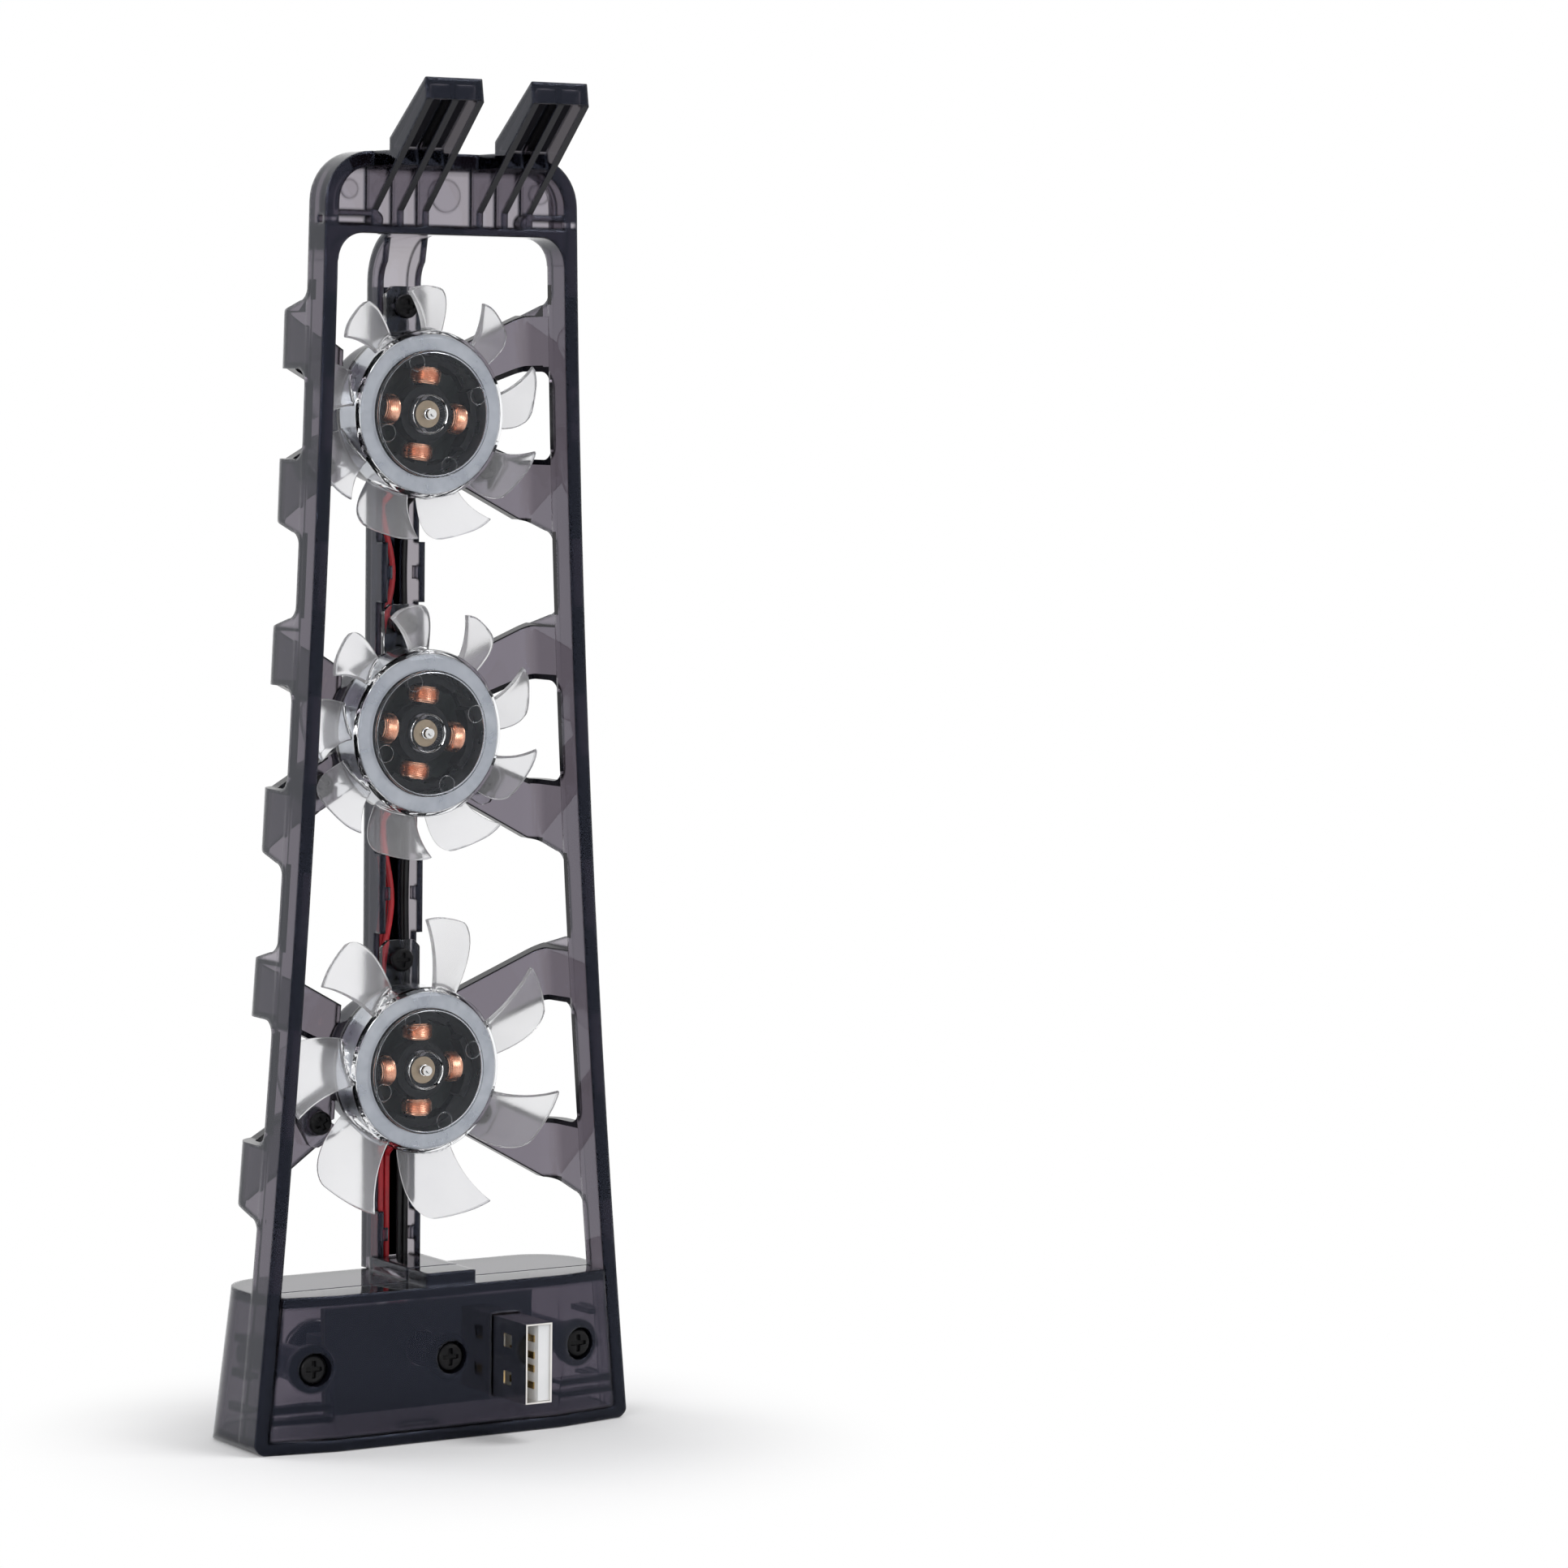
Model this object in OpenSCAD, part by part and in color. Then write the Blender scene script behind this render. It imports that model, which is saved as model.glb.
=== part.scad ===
// Upright three-fan cooler that hooks over the back of a games console.
// X runs across the frame, Z runs up, and +Y points at the console.
// The origin is on the foot, at the middle of the frame, in the plane of the rim's console edge.

/* [Frame] */
// Height of the frame, from the foot to the top of its rim
frame_h = 190; // [180:1:205]
// Width across the rim at the foot
foot_w = 63.7; // [62:0.1:70]
// Width across the rim at the top
top_w = 41.9; // [41:0.1:48]
// Inward bow of each side rail, halfway up
rim_bow = 2; // [0:0.1:2.2]
// Depth of the rim
rim_depth = 5.3; // [4.6:0.1:6]
// Wall of the rim
rim_wall = 2.2; // [1.8:0.1:2.4]
// Outer radius of the rim's top corners
rim_corner_r = 7.5; // [5:0.5:9]
// Height of the closed bar across the top
top_bar_h = 11.9; // [11:0.1:13]
// Thickness of the bar's web and lower wall
web_t = 1.2; // [0.9:0.1:1.6]
// Depth of the bar's pocket on the console side
pocket_depth = 2.5; // [2:0.1:3]
// Fillet between the top bar and the side rails
window_fillet_r = 4; // [2:0.5:5]
// Thickness of the lip under the cover
foot_lip = 1.8; // [1.4:0.1:2.4]

/* [Hooks] */
// Width of one hook
hook_w = 9.4; // [8:0.2:11]
// Gap between the two hooks
hook_gap = 8.1; // [6:0.1:10]
// Distance from the console edge to the hook's foot
hook_foot = 4.6; // [4:0.1:6]
// Distance from the console edge to the hook's tip
hook_reach = 15.3; // [13:0.1:18]
// Height of the hook's foot above the rim
hook_step = 1.6; // [1.2:0.1:2.2]
// Height of the hook's tip above the rim
hook_rise = 10.2; // [8:0.1:12]
// Depth of the hook's ribs below its face, at the tip
hook_rib_h = 3.3; // [2.6:0.1:4]
// Thickness of the hook's face and end wall
hook_plate_t = 1.3; // [1:0.1:1.6]
// Thickness of the hook's ribs
hook_rib_t = 1; // [0.8:0.1:1.4]
// Thickness of the soft pad on each hook
pad_t = 0.8; // [0.5:0.1:1.2]
// Margin from the edge of the hook to its pad
pad_margin = 0.7; // [0.4:0.1:1.2]

/* [Spine] */
// Width of the spine
spine_w = 7.2; // [6.6:0.1:8]
// Distance from the console edge to the spine's outer face
spine_out = 19.7; // [19.6:0.1:21]
// Depth of the spine's channel walls
spine_depth = 3.5; // [3:0.1:3.6]
// Wall of the spine
spine_wall = 0.9; // [0.7:0.1:1.1]
// Outer radius of the bend at the spine's top
spine_bend_r = 8; // [6:0.5:9]
// Extra depth of the raised wall between two fans
spine_raise = 1.8; // [1:0.1:1.8]
// Length of the raised wall above the middle fan and above the base
spine_raise_l = 9; // [6:0.5:9.2]
// Length of the raised wall above the bottom fan
spine_raise_l2 = 12; // [6:0.5:12.4]
// Width of the glossy strip
strip_w = 6; // [5:0.1:6.4]
// Thickness of the glossy strip
strip_t = 0.5; // [0.4:0.1:0.8]
// Gap between the strip's lower end and the base
strip_foot_gap = 1.4; // [0.8:0.1:3]

/* [Arms] */
// Distance from the console edge to the bend in the arms
arm_out = 14.7; // [13.5:0.1:15.2]
// Inward lean of the arm's side tab
arm_lean = 0.3; // [0.2:0.1:1]
// Thickness of the arms
arm_t = 1.9; // [1.5:0.1:2.2]
// Outer radius of the bend in the arms
arm_bend_r = 4.4; // [3:0.2:5]
// Height of an upper arm at the hub
arm_up_root_h = 7.2; // [6:0.1:8]
// Height of an upper arm at the bend
arm_up_h = 8.4; // [7:0.1:9.5]
// Height of a lower arm at the hub
arm_low_root_h = 7.1; // [6:0.1:8]
// Height of a lower arm at the bend
arm_low_h = 9.1; // [8:0.1:10]
// Slope of the upper arms
arm_up_slope = 0.48; // [0.4:0.01:0.52]
// Slope of the lower arms
arm_low_slope = 0.53; // [0.44:0.01:0.56]
// Height of the upper arm's middle line at the hub's edge, above the fan's centre
arm_up_z = 6.6; // [6:0.1:7.2]
// Height of the lower arm's middle line at the hub's edge, below the fan's centre
arm_low_z = 6.8; // [6.2:0.1:7.4]
// Fillet of each tab edge where it meets the rim
arm_flare = 2.4; // [1:0.1:3]
// Rise of an arm's outer edge from the bend to the rim
arm_tab_rise = 1.5; // [0.5:0.1:2.5]

/* [Hub] */
// Radius of the hub disc that carries a fan
hub_r = 10.9; // [10:0.1:11.4]
// Distance from the console edge to the hub's outer face
hub_out = 19.2; // [18.8:0.1:19.4]
// Floor of the hub
hub_floor = 1.1; // [0.9:0.1:1.3]
// Wall of the hub
hub_wall = 1.1; // [0.8:0.1:1.5]
// Depth of the hub
hub_depth = 3.8; // [3.5:0.1:4]
// Height of the ring round the hub's outer face
hub_ring_h = 0.35; // [0.2:0.05:0.4]

/* [Fans] */
// Distance from the frame's top edge down to the top fan's axis
fan_top_drop = 38.1; // [37:0.1:40]
// Height of the bottom fan's axis above the base
fan_bottom_rise = 31.1; // [30:0.1:34]
// Height of the middle fan's axis above the middle between the other two
fan_middle_rise = 1.55; // [0:0.05:3]
// Number of blades on the upper two fans
small_blades = 9; // [7:1:9]
// Number of blades on the bottom fan
large_blades = 7; // [5:1:7]
// Tip radius of the upper two fans
small_tip_r = 19; // [17:0.1:19.5]
// Tip radius of the bottom fan
large_tip_r = 23; // [20:0.1:23.4]
// Angle that a small blade covers at the hub
small_span = 32.5; // [26:0.5:34]
// Angle that a large blade covers at the hub
large_span = 38; // [30:0.5:42]
// Angle that a small blade covers at its tip, before rounding
small_tip_span = 29.5; // [24:0.5:31]
// Angle that a large blade covers at its tip, before rounding
large_tip_span = 26; // [22:0.5:30]
// Angle that a blade's leading edge falls back at the hub
blade_sweep = 8; // [4:0.5:10]
// Rounding of a blade's trailing corner
blade_round = 3.3; // [2:0.1:3.6]
// Thickness of a blade
blade_t = 0.9; // [0.7:0.1:1.2]
// Pitch of the blades in degrees
blade_pitch = 28; // [24:1:30]
// Outer radius of the rotor's cup
cup_r = 12.5; // [12.2:0.1:12.8]
// Wall of the rotor's cup
cup_wall = 0.9; // [0.7:0.1:1]
// Radius of the rotor's flat front
cup_front_r = 11.1; // [10.4:0.1:11.4]
// Height of the rotor's cup along its axis
cup_h = 7.1; // [6.8:0.1:7.4]
// Thickness of the rotor's front
cup_front_t = 1.1; // [0.9:0.1:1.3]
// Depth of the shoulder round the rotor's front
cup_shoulder = 1; // [0.8:0.1:1.4]
// Gap between the fan's board and the rotor
rotor_gap = 0.8; // [0.7:0.1:1]
// Radius of the shaft
shaft_r = 0.75; // [0.6:0.05:0.9]
// Running clearance of the shaft in its bearing
shaft_fit = 0.05; // [0.03:0.01:0.08]
// Outer radius of the bearing
bearing_r = 2; // [1.7:0.1:2.2]
// Outer radius of the tube that holds the bearing
tube_r = 3; // [2.7:0.1:3.2]
// Thickness of the fan holder
holder_t = 1; // [0.8:0.1:1.1]
// Distance from the fan's axis to its screws
ear_r = 15.9; // [15.6:0.1:16.4]
// Width of the holder's ears
ear_w = 6.4; // [5.2:0.1:6.6]
// Length of the holder's ears past their screws
ear_end = 3; // [2.4:0.1:3]
// Thickness of the fan's board
board_t = 0.8; // [0.6:0.1:0.9]
// Radius of the fan's board
board_r = 9.2; // [8.6:0.1:9.8]
// Outer radius of the stator
stator_r = 8.7; // [8.2:0.1:8.9]
// Height of the stator along its axis
stator_h = 3; // [2.6:0.1:3.4]
// Width of a stator pole
pole_w = 2.2; // [1.8:0.1:2.6]
// Radius of a coil
coil_r = 2.4; // [2.2:0.1:2.5]
// Length of a coil along its pole
coil_l = 2.6; // [2.2:0.1:2.7]
// Inner radius of the magnet ring
magnet_in_r = 9.4; // [9.3:0.1:9.8]
// Head radius of the fan screws
screw_head_r = 1.8; // [1.5:0.1:2]
// Head height of the fan screws
screw_head_h = 0.9; // [0.7:0.1:1]
// Shank radius of the fan screws
screw_r = 0.7; // [0.6:0.05:0.8]
// Clearance round a screw's shank
screw_fit = 0.1; // [0.05:0.01:0.15]
// Length of the fan screws below their heads
screw_l = 3.4; // [2.8:0.1:3.6]

/* [Base] */
// Height of the base
base_h = 23.1; // [22.4:0.1:25]
// Distance from the console edge to the base's outer face, at the foot
base_out = 19.6; // [19:0.1:20.4]
// Inward lean of the base's outer face in degrees
base_draft = 4; // [2:0.5:5]
// Radius of the base's upright outer edges
base_corner_r = 8; // [6:0.5:9]
// Wall of the base
base_wall = 1.6; // [1.3:0.1:2]
// Distance that the cover's middle stands proud of the rim
cover_proud = 2; // [1:0.1:2.6]
// Half width of the cover's flat middle
cover_flat = 18.7; // [17:0.1:20]
// Thickness of the cover
cover_t = 1.5; // [1.2:0.1:1.8]
// Depth of the cover's top flange behind the console edge
cover_flange = 4.2; // [3.4:0.1:4.8]
// Gap between the cover and the frame
cover_gap = 0.15; // [0.1:0.05:0.25]
// Distance of the outer cover screws from the middle
cover_screw_x = 22.5; // [21.6:0.1:23]
// Height of the cover screws
cover_screw_z = 12.3; // [11:0.1:13]
// Radius of the wells that the cover screws sit in
well_r = 2.4; // [2.2:0.1:2.6]
// Height of the tunnel between the spine and the cover, above the base
tunnel_h = 2; // [1.4:0.1:2.2]
// Width of the tunnel
tunnel_w = 8.4; // [8.2:0.1:9]

/* [Electronics] */
// Distance from the console edge to the back of the control board
board_back = 9.1; // [8.6:0.1:9.6]
// Thickness of the control board
main_board_t = 1.2; // [1:0.1:1.6]
// Reach of the control board to the socket's side
main_board_left = 19; // [14:0.5:19.5]
// Reach of the control board to the button's side
main_board_right = 16; // [15.5:0.5:19]
// Height of the control board's lower edge
main_board_low = 3.4; // [3:0.1:4]
// Gap between the control board's upper edge and the base's top wall
main_board_gap = 1.1; // [0.8:0.1:1.5]
// Width of the plug's metal shell
plug_w = 12; // [12]
// Thickness of the plug's metal shell
plug_h = 4.5; // [4.5]
// Length of the plug in front of the cover
plug_l = 9.8; // [9.4:0.1:12]
// Sheet thickness of the plug and socket shells
sheet_t = 0.3; // [0.25:0.05:0.35]
// Distance of the plug from the middle, away from the button
plug_x = 9.2; // [8.8:0.1:10.5]
// Height of the plug's middle
plug_z = 12.1; // [11.5:0.1:13]
// Width inside the socket's shell
socket_w = 12.5; // [12.5]
// Height inside the socket's shell
socket_h = 5.12; // [5.12]
// Distance of the socket from the middle, away from the button
socket_x = 5.3; // [5.2:0.1:6.4]
// Height of the socket's middle
socket_z = 11.3; // [11:0.1:12]
// Radius of the push button
button_r = 4.6; // [4:0.1:4.9]
// Distance of the button from the middle
button_x = 11.8; // [11:0.1:12.6]
// Height of the button's middle
button_z = 11.3; // [10.6:0.1:12]
// Travel of the push button
button_travel = 1.2; // [0.8:0.1:1.4]
// Height of the button's dome above the base
button_proud = 1.5; // [1.4:0.1:2]
// Clearance round the button
button_fit = 0.2; // [0.15:0.05:0.3]
// Diameter of the wires
wire_d = 0.9; // [0.7:0.05:0.95]
// Distance of each wire from the middle of the spine
wire_x = 2.1; // [2.05:0.05:2.15]

/* [Hidden] */
$fn = 64;
eps = 0.01;

// Frame values
bar_bottom = frame_h - top_bar_h;
bar_floor_top = bar_bottom + web_t;
web_back = -pocket_depth - web_t;
rib_foot = 2.2;
rib_foot_z = bar_floor_top + rib_foot;
hook_x = (hook_gap + hook_w) / 2;
hook_tip_drop = 0.6;
smoke = [0.2, 0.19, 0.23, 0.6];
clear = [0.85, 0.87, 0.9, 0.5];
black = [0.05, 0.05, 0.06];

// Heights of the fans' axes
fan_top_z = frame_h - fan_top_drop;
fan_bottom_z = base_h + fan_bottom_rise;
fan_middle_z = (fan_top_z + fan_bottom_z) / 2 + fan_middle_rise;

// Levels along a fan's axis, from the hub's outer face towards the console
hub_y = -hub_out;
hub_floor_y = hub_y + hub_floor;
holder_y = hub_y + hub_depth;
fan_board_y = holder_y + holder_t;
rotor_back_y = fan_board_y + board_t + rotor_gap;
rotor_front_y = rotor_back_y + cup_h;
cup_floor_y = rotor_front_y - cup_front_t;
stator_gap = 2.4;
stator_y = fan_board_y + board_t + stator_gap;
tube_end_y = cup_floor_y - 1.3;
boss_end_y = tube_end_y + 0.4;
boss_r = 2.8;
tip_drop = 0.4;
shaft_cap = 0.5;
// Height, tip radius, blade count, blade angles at the hub and tip, rest angle and stator angle of each fan
fans = [[fan_top_z, small_tip_r, small_blades, small_span, small_tip_span, -13, -7],
        [fan_middle_z, small_tip_r, small_blades, small_span, small_tip_span, -21, -8],
        [fan_bottom_z, large_tip_r, large_blades, large_span, large_tip_span, -2, 0]];
ear_angles = [90, 210, 330];
post_r = 1.4;
pilot_l = screw_l + 0.3;

// Spine values
spine_y = -spine_out;
spine_edge_y = spine_y + spine_depth;
spine_top = bar_floor_top;
spine_bend_z = spine_top - spine_bend_r;
raise_gap = [(fan_top_z + fan_middle_z) / 2,
             (fan_middle_z + fan_bottom_z - small_tip_r + large_tip_r) / 2 - 1.3];
raises = [[raise_gap[0] - spine_raise_l / 2, spine_raise_l],
          [raise_gap[1] - spine_raise_l2 / 2, spine_raise_l2], [base_h + tunnel_h, spine_raise_l - tunnel_h]];
strip_top = spine_bend_z - 0.6;
tab_l = 0.8;

// Base values
cover_top = base_h;
floor_z = foot_lip;
plug_face_y = cover_proud;
board_front_y = -board_back + main_board_t;
main_board_top = base_h - base_wall - main_board_gap;
post_h = 2;
switch_w = 7;
switch_t = 5.4;
stem_r = 1.6;
tongue_gap = 0.1;

// Half width of the frame at a height
function half_w(z) = foot_w / 2 - (foot_w - top_w) / 2 * z / frame_h
    - 4 * rim_bow * z / frame_h * (1 - z / frame_h);
// Lean of the side rail at a height, in degrees
function taper(z) = atan((foot_w - top_w) / 2 / frame_h + 4 * rim_bow / frame_h * (1 - 2 * z / frame_h));
// Place of the base's outer face at a height
function base_face(z) = -base_out + z * tan(base_draft);
// Points on an arc
function arc(c, r, a0, a1, n) = [for (i = [0 : n]) let (a = a0 + (a1 - a0) * i / n) c + r * [cos(a), sin(a)]];

// Drawing in X and Z, given thickness from y0 to y1
module slab(y0, y1) {
    translate([0, y1, 0]) rotate([90, 0, 0]) linear_extrude(y1 - y0) children();
}

// Drawing in Y and Z, given thickness from x0 to x1
module plate(x0, x1) {
    translate([x0, 0, 0]) rotate([90, 0, 90]) linear_extrude(x1 - x0) children();
}

// Cylinder along Y
module rod(r, y0, y1) {
    translate([0, y0, 0]) rotate([-90, 0, 0]) cylinder(r = r, h = y1 - y0);
}

// Shape turned round the Y axis, drawn as radius and height along the axis
module turned() {
    rotate([-90, 0, 0]) rotate_extrude() children();
}

// Box between two corners
module box(a, b) {
    translate(a) cube(b - a);
}

// Outline of the frame, drawn in by a distance
module frame_outline(inset, bottom) {
    r = rim_corner_r - inset;
    top = frame_h - inset;
    zc = top - r;
    lean = taper(zc);
    xc = half_w(zc) - (inset + r) / cos(lean);
    zt = zc + r * sin(lean);
    steps = 16;
    side = [for (i = [0 : steps - 1]) let (z = bottom + (zt - bottom) * i / steps)
        [half_w(z) - inset / cos(taper(z)), z]];
    right = concat(side, [[xc + r * cos(lean), zt], [xc, top]]);
    last = len(right) - 1;
    polygon(concat(right, [for (i = [last : -1 : 0]) [-right[i][0], right[i][1]]]));
    for (s = [-1, 1]) translate([s * xc, zc]) circle(r);
}

// Side view of a hook and its gusset rib
function hook_face() = [[hook_foot, frame_h + hook_step], [hook_reach, frame_h + hook_rise]];
function hook_tip() = [hook_reach + hook_tip_drop, frame_h + hook_rise - hook_rib_h];

module hook_rib_side() {
    low = bar_floor_top - eps;
    polygon([[-pocket_depth, low], [-0.2, low], [-0.2, rib_foot_z], hook_tip(),
        hook_face()[1], hook_face()[0], [hook_foot, frame_h], [-pocket_depth, frame_h]]);
}

module hook_plate_side() {
    slope = atan2(hook_rise - hook_step, hook_reach - hook_foot);
    down = hook_plate_t * [sin(slope), -cos(slope)];
    under = [hook_face()[0] + down, hook_face()[1] + down];
    back = hook_plate_t * [1, 0];
    polygon([hook_face()[1], hook_face()[0], [hook_foot, frame_h], [-0.5, frame_h],
        [-0.5, frame_h - rim_wall],
        [hook_foot + hook_plate_t, frame_h - rim_wall], under[0], under[1] - back,
        hook_tip() - back, hook_tip()]);
}

module hook() {
    plate(-hook_w / 2, hook_w / 2) hook_plate_side();
    for (x = [-hook_w / 2, -hook_rib_t / 2, hook_w / 2 - hook_rib_t])
        plate(x, x + hook_rib_t) hook_rib_side();
}

// Slot in the side wall below the pocket, with a rib round it
slot_l = 6;
slot_h = 1.1;
slot_rib = 0.8;
slot_z = bar_floor_top + slot_h / 2 + 0.2;

module slot_rib_2d() {
    difference() {
        union() {
            translate([-slot_l, -slot_h / 2 - slot_rib]) square([slot_l + 1, slot_h + 2 * slot_rib]);
            translate([-slot_l, 0]) circle(slot_h / 2 + slot_rib);
        }
        translate([-slot_l, -slot_h / 2]) square([slot_l + 2, slot_h]);
        translate([-slot_l, 0]) circle(slot_h / 2);
    }
}

module frame_rim() {
    inner_w = half_w(bar_bottom) - rim_wall;
    slot_x = half_w(slot_z) - rim_wall;
    slot_end = slot_x + 2 * rim_wall;
    foot_half = half_w(foot_lip);
    color(smoke) difference() {
        union() {
            slab(-rim_depth, 0) difference() {
                frame_outline(0, 0);
                frame_outline(rim_wall, foot_lip);
            }
            // Lip under the cover, which follows the cover's bulge
            linear_extrude(foot_lip) polygon([[0.2 - foot_half, -1], [rim_wall - foot_half, 0],
                [-cover_flat, cover_proud], [cover_flat, cover_proud],
                [foot_half - rim_wall, 0], [foot_half - 0.2, -1]]);
            // Closed bar across the top
            slab(-rim_depth, 0) translate([-inner_w - 0.5, bar_bottom]) square([2 * inner_w + 1, web_t]);
            slab(web_back, -pocket_depth) intersection() {
                frame_outline(rim_wall / 2, bar_bottom);
                translate([-foot_w / 2, bar_bottom]) square([foot_w, frame_h]);
            }
            for (s = [-1, 1]) {
                // Fillets at the window's upper corners
                slab(-rim_depth, 0) translate([s * (inner_w - window_fillet_r), bar_bottom - window_fillet_r])
                    difference() {
                        translate([s > 0 ? 0 : -window_fillet_r - 0.5, 0])
                            square([window_fillet_r + 0.5, window_fillet_r + 0.5]);
                        circle(window_fillet_r);
                    }
                translate([s * hook_x, 0, 0]) hook();
                slab(-pocket_depth - eps, -0.3) translate([s * slot_x, slot_z])
                    mirror([s < 0 ? 1 : 0, 0]) slot_rib_2d();
                // Moulding marks on the web
                translate([s * (hook_x + hook_w / 2 + 2.6), 0, bar_floor_top + 5.2])
                    rod(1.4, -pocket_depth - eps, -pocket_depth + 0.15);
            }
            translate([0, 0, bar_floor_top + 4.6]) rod(2.4, -pocket_depth - eps, -pocket_depth + 0.15);
        }
        for (s = [0, 1]) mirror([s, 0, 0]) box([slot_x - 1, -pocket_depth, slot_z - slot_h / 2],
            [slot_end, -0.3 - slot_rib, slot_z + slot_h / 2]);
    }
}

// Plan of one arm from the rim to the hub, with X measured from the side wall
function arm_plan(reach) =
    let (corner = [-arm_lean, -arm_out], far = [-reach, hub_y + 0.1],
         tab_dir = (corner - [0, -rim_depth]) / norm(corner - [0, -rim_depth]),
         arm_dir = (far - corner) / norm(far - corner),
         half = acos(tab_dir * arm_dir) / 2,
         set_back = arm_bend_r * tan(half),
         c = corner - set_back * tab_dir + arm_bend_r * [tab_dir[1], -tab_dir[0]],
         a0 = atan2(tab_dir[0], -tab_dir[1]),
         thick = arm_t * [tab_dir[1], -tab_dir[0]],
         thick2 = arm_t * [arm_dir[1], -arm_dir[0]])
    concat([[0, -rim_depth]], arc(c, arm_bend_r, a0, a0 - 2 * half, 8), [far],
        [far + thick2], arc(c, arm_bend_r - arm_t, a0 - 2 * half, a0, 8), [[thick[0], -rim_depth]]);

// Front view of one arm: middle line, heights and slope, from inside the hub to the bend
module arm_front(sign, z0, slope, root_h, bend_h, bend_x) {
    mid = [z0, z0 + slope * (bend_x - hub_r)];
    in_x = hub_r - 5;
    in_z = mid[0] - 5 * slope;
    polygon([[in_x, sign * (in_z - root_h / 2)], [in_x, sign * (in_z + root_h / 2)],
        [bend_x, sign * (mid[1] + bend_h / 2)], [bend_x, sign * (mid[1] - bend_h / 2)]]);
}

// Side view of one tab, which widens in a fillet at the rim
module arm_tab(sign, z0, slope, bend_h, bend_x) {
    mid = z0 + slope * (bend_x - hub_r);
    low = arc([-rim_depth - arm_flare, -bend_h / 2 - arm_flare], arm_flare, 90, 0, 6);
    high = [for (i = [len(low) - 1 : -1 : 0]) [low[i][0], arm_tab_rise - low[i][1]]];
    points = concat([[-arm_out - 3, -bend_h / 2]], low, high,
        [[1 - arm_out, bend_h / 2], [-arm_out - 3, bend_h / 2]]);
    polygon([for (q = points) [q[0], sign * (mid + q[1])]]);
}

module arm_set(fz) {
    wall_x = half_w(fz);
    bend_x = wall_x - arm_lean - arm_bend_r / 2;
    tall = 70;
    difference() {
        union() {
            for (s = [0, 1]) mirror([s, 0, 0]) difference() {
                intersection() {
                    translate([wall_x, 0, 0]) rotate([0, -taper(fz), 0]) translate([0, 0, -tall / 2])
                        linear_extrude(tall) polygon(arm_plan(wall_x - hub_r + hub_wall));
                    union() {
                        slab(hub_y - 2, 0) {
                            arm_front(1, arm_up_z, arm_up_slope, arm_up_root_h, arm_up_h, bend_x);
                            arm_front(-1, arm_low_z, arm_low_slope, arm_low_root_h, arm_low_h, bend_x);
                        }
                        plate(bend_x - eps, wall_x + 4) {
                            arm_tab(1, arm_up_z, arm_up_slope, arm_up_h, bend_x);
                            arm_tab(-1, arm_low_z, arm_low_slope, arm_low_h, bend_x);
                        }
                    }
                }
                rod(hub_r - hub_wall / 2, hub_y - 2, 0);
                // Seat of the holder's ear
                slab(holder_y, 0) rotate(ear_angles[2]) ear_2d(cover_gap);
            }
            rod(hub_r, hub_y, holder_y);
            rod(hub_r, hub_y - hub_ring_h, hub_y + eps);
            for (a = [ear_angles[1], ear_angles[2]]) rotate([0, -a, 0]) translate([ear_r, 0, 0])
                rod(post_r + 0.6, hub_y - 0.1, holder_y);
        }
        rod(hub_r - hub_wall, hub_floor_y, 0);
        rod(hub_r - hub_wall, hub_y - 1, hub_y);
        // Way for the wires through the hub
        box([-wire_x - wire_d, hub_floor_y, -hub_r - 1], [wire_x + wire_d, 0, hub_r + 1]);
        // Seat of the spine across the ring
        box([-spine_w / 2, hub_y - 1, -hub_r - 1], [spine_w / 2, hub_y, hub_r + 1]);
        for (a = [ear_angles[1], ear_angles[2]]) rotate([0, -a, 0]) translate([ear_r, 0, 0])
            rod(screw_r + screw_fit, holder_y - pilot_l, holder_y + 1);
    }
}

module arms_top() { color(smoke) translate([0, 0, fans[0][0]]) arm_set(fans[0][0]); }
module arms_middle() { color(smoke) translate([0, 0, fans[1][0]]) arm_set(fans[1][0]); }
module arms_bottom() { color(smoke) translate([0, 0, fans[2][0]]) arm_set(fans[2][0]); }

// Side views of the spine: its back and its channel walls
module spine_back_side() {
    c = [spine_y + spine_bend_r, spine_bend_z];
    polygon(concat([[spine_y, base_h]], arc(c, spine_bend_r, 180, 90, 12),
        [[-rim_depth, spine_top], [-rim_depth, spine_top - spine_wall]],
        arc(c, spine_bend_r - spine_wall, 90, 180, 12), [[spine_y + spine_wall, base_h]]));
}

module spine_wall_side() {
    c = [spine_y + spine_bend_r, spine_bend_z];
    polygon(concat([[spine_y, base_h]], arc(c, spine_bend_r, 180, 90, 12),
        [[-rim_depth, spine_top], [-rim_depth, spine_top - spine_wall]],
        arc(c, spine_bend_r - spine_wall, 90, 110, 3),
        arc(c, spine_bend_r - spine_depth, 135, 180, 6), [[spine_edge_y, base_h]]));
}

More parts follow.
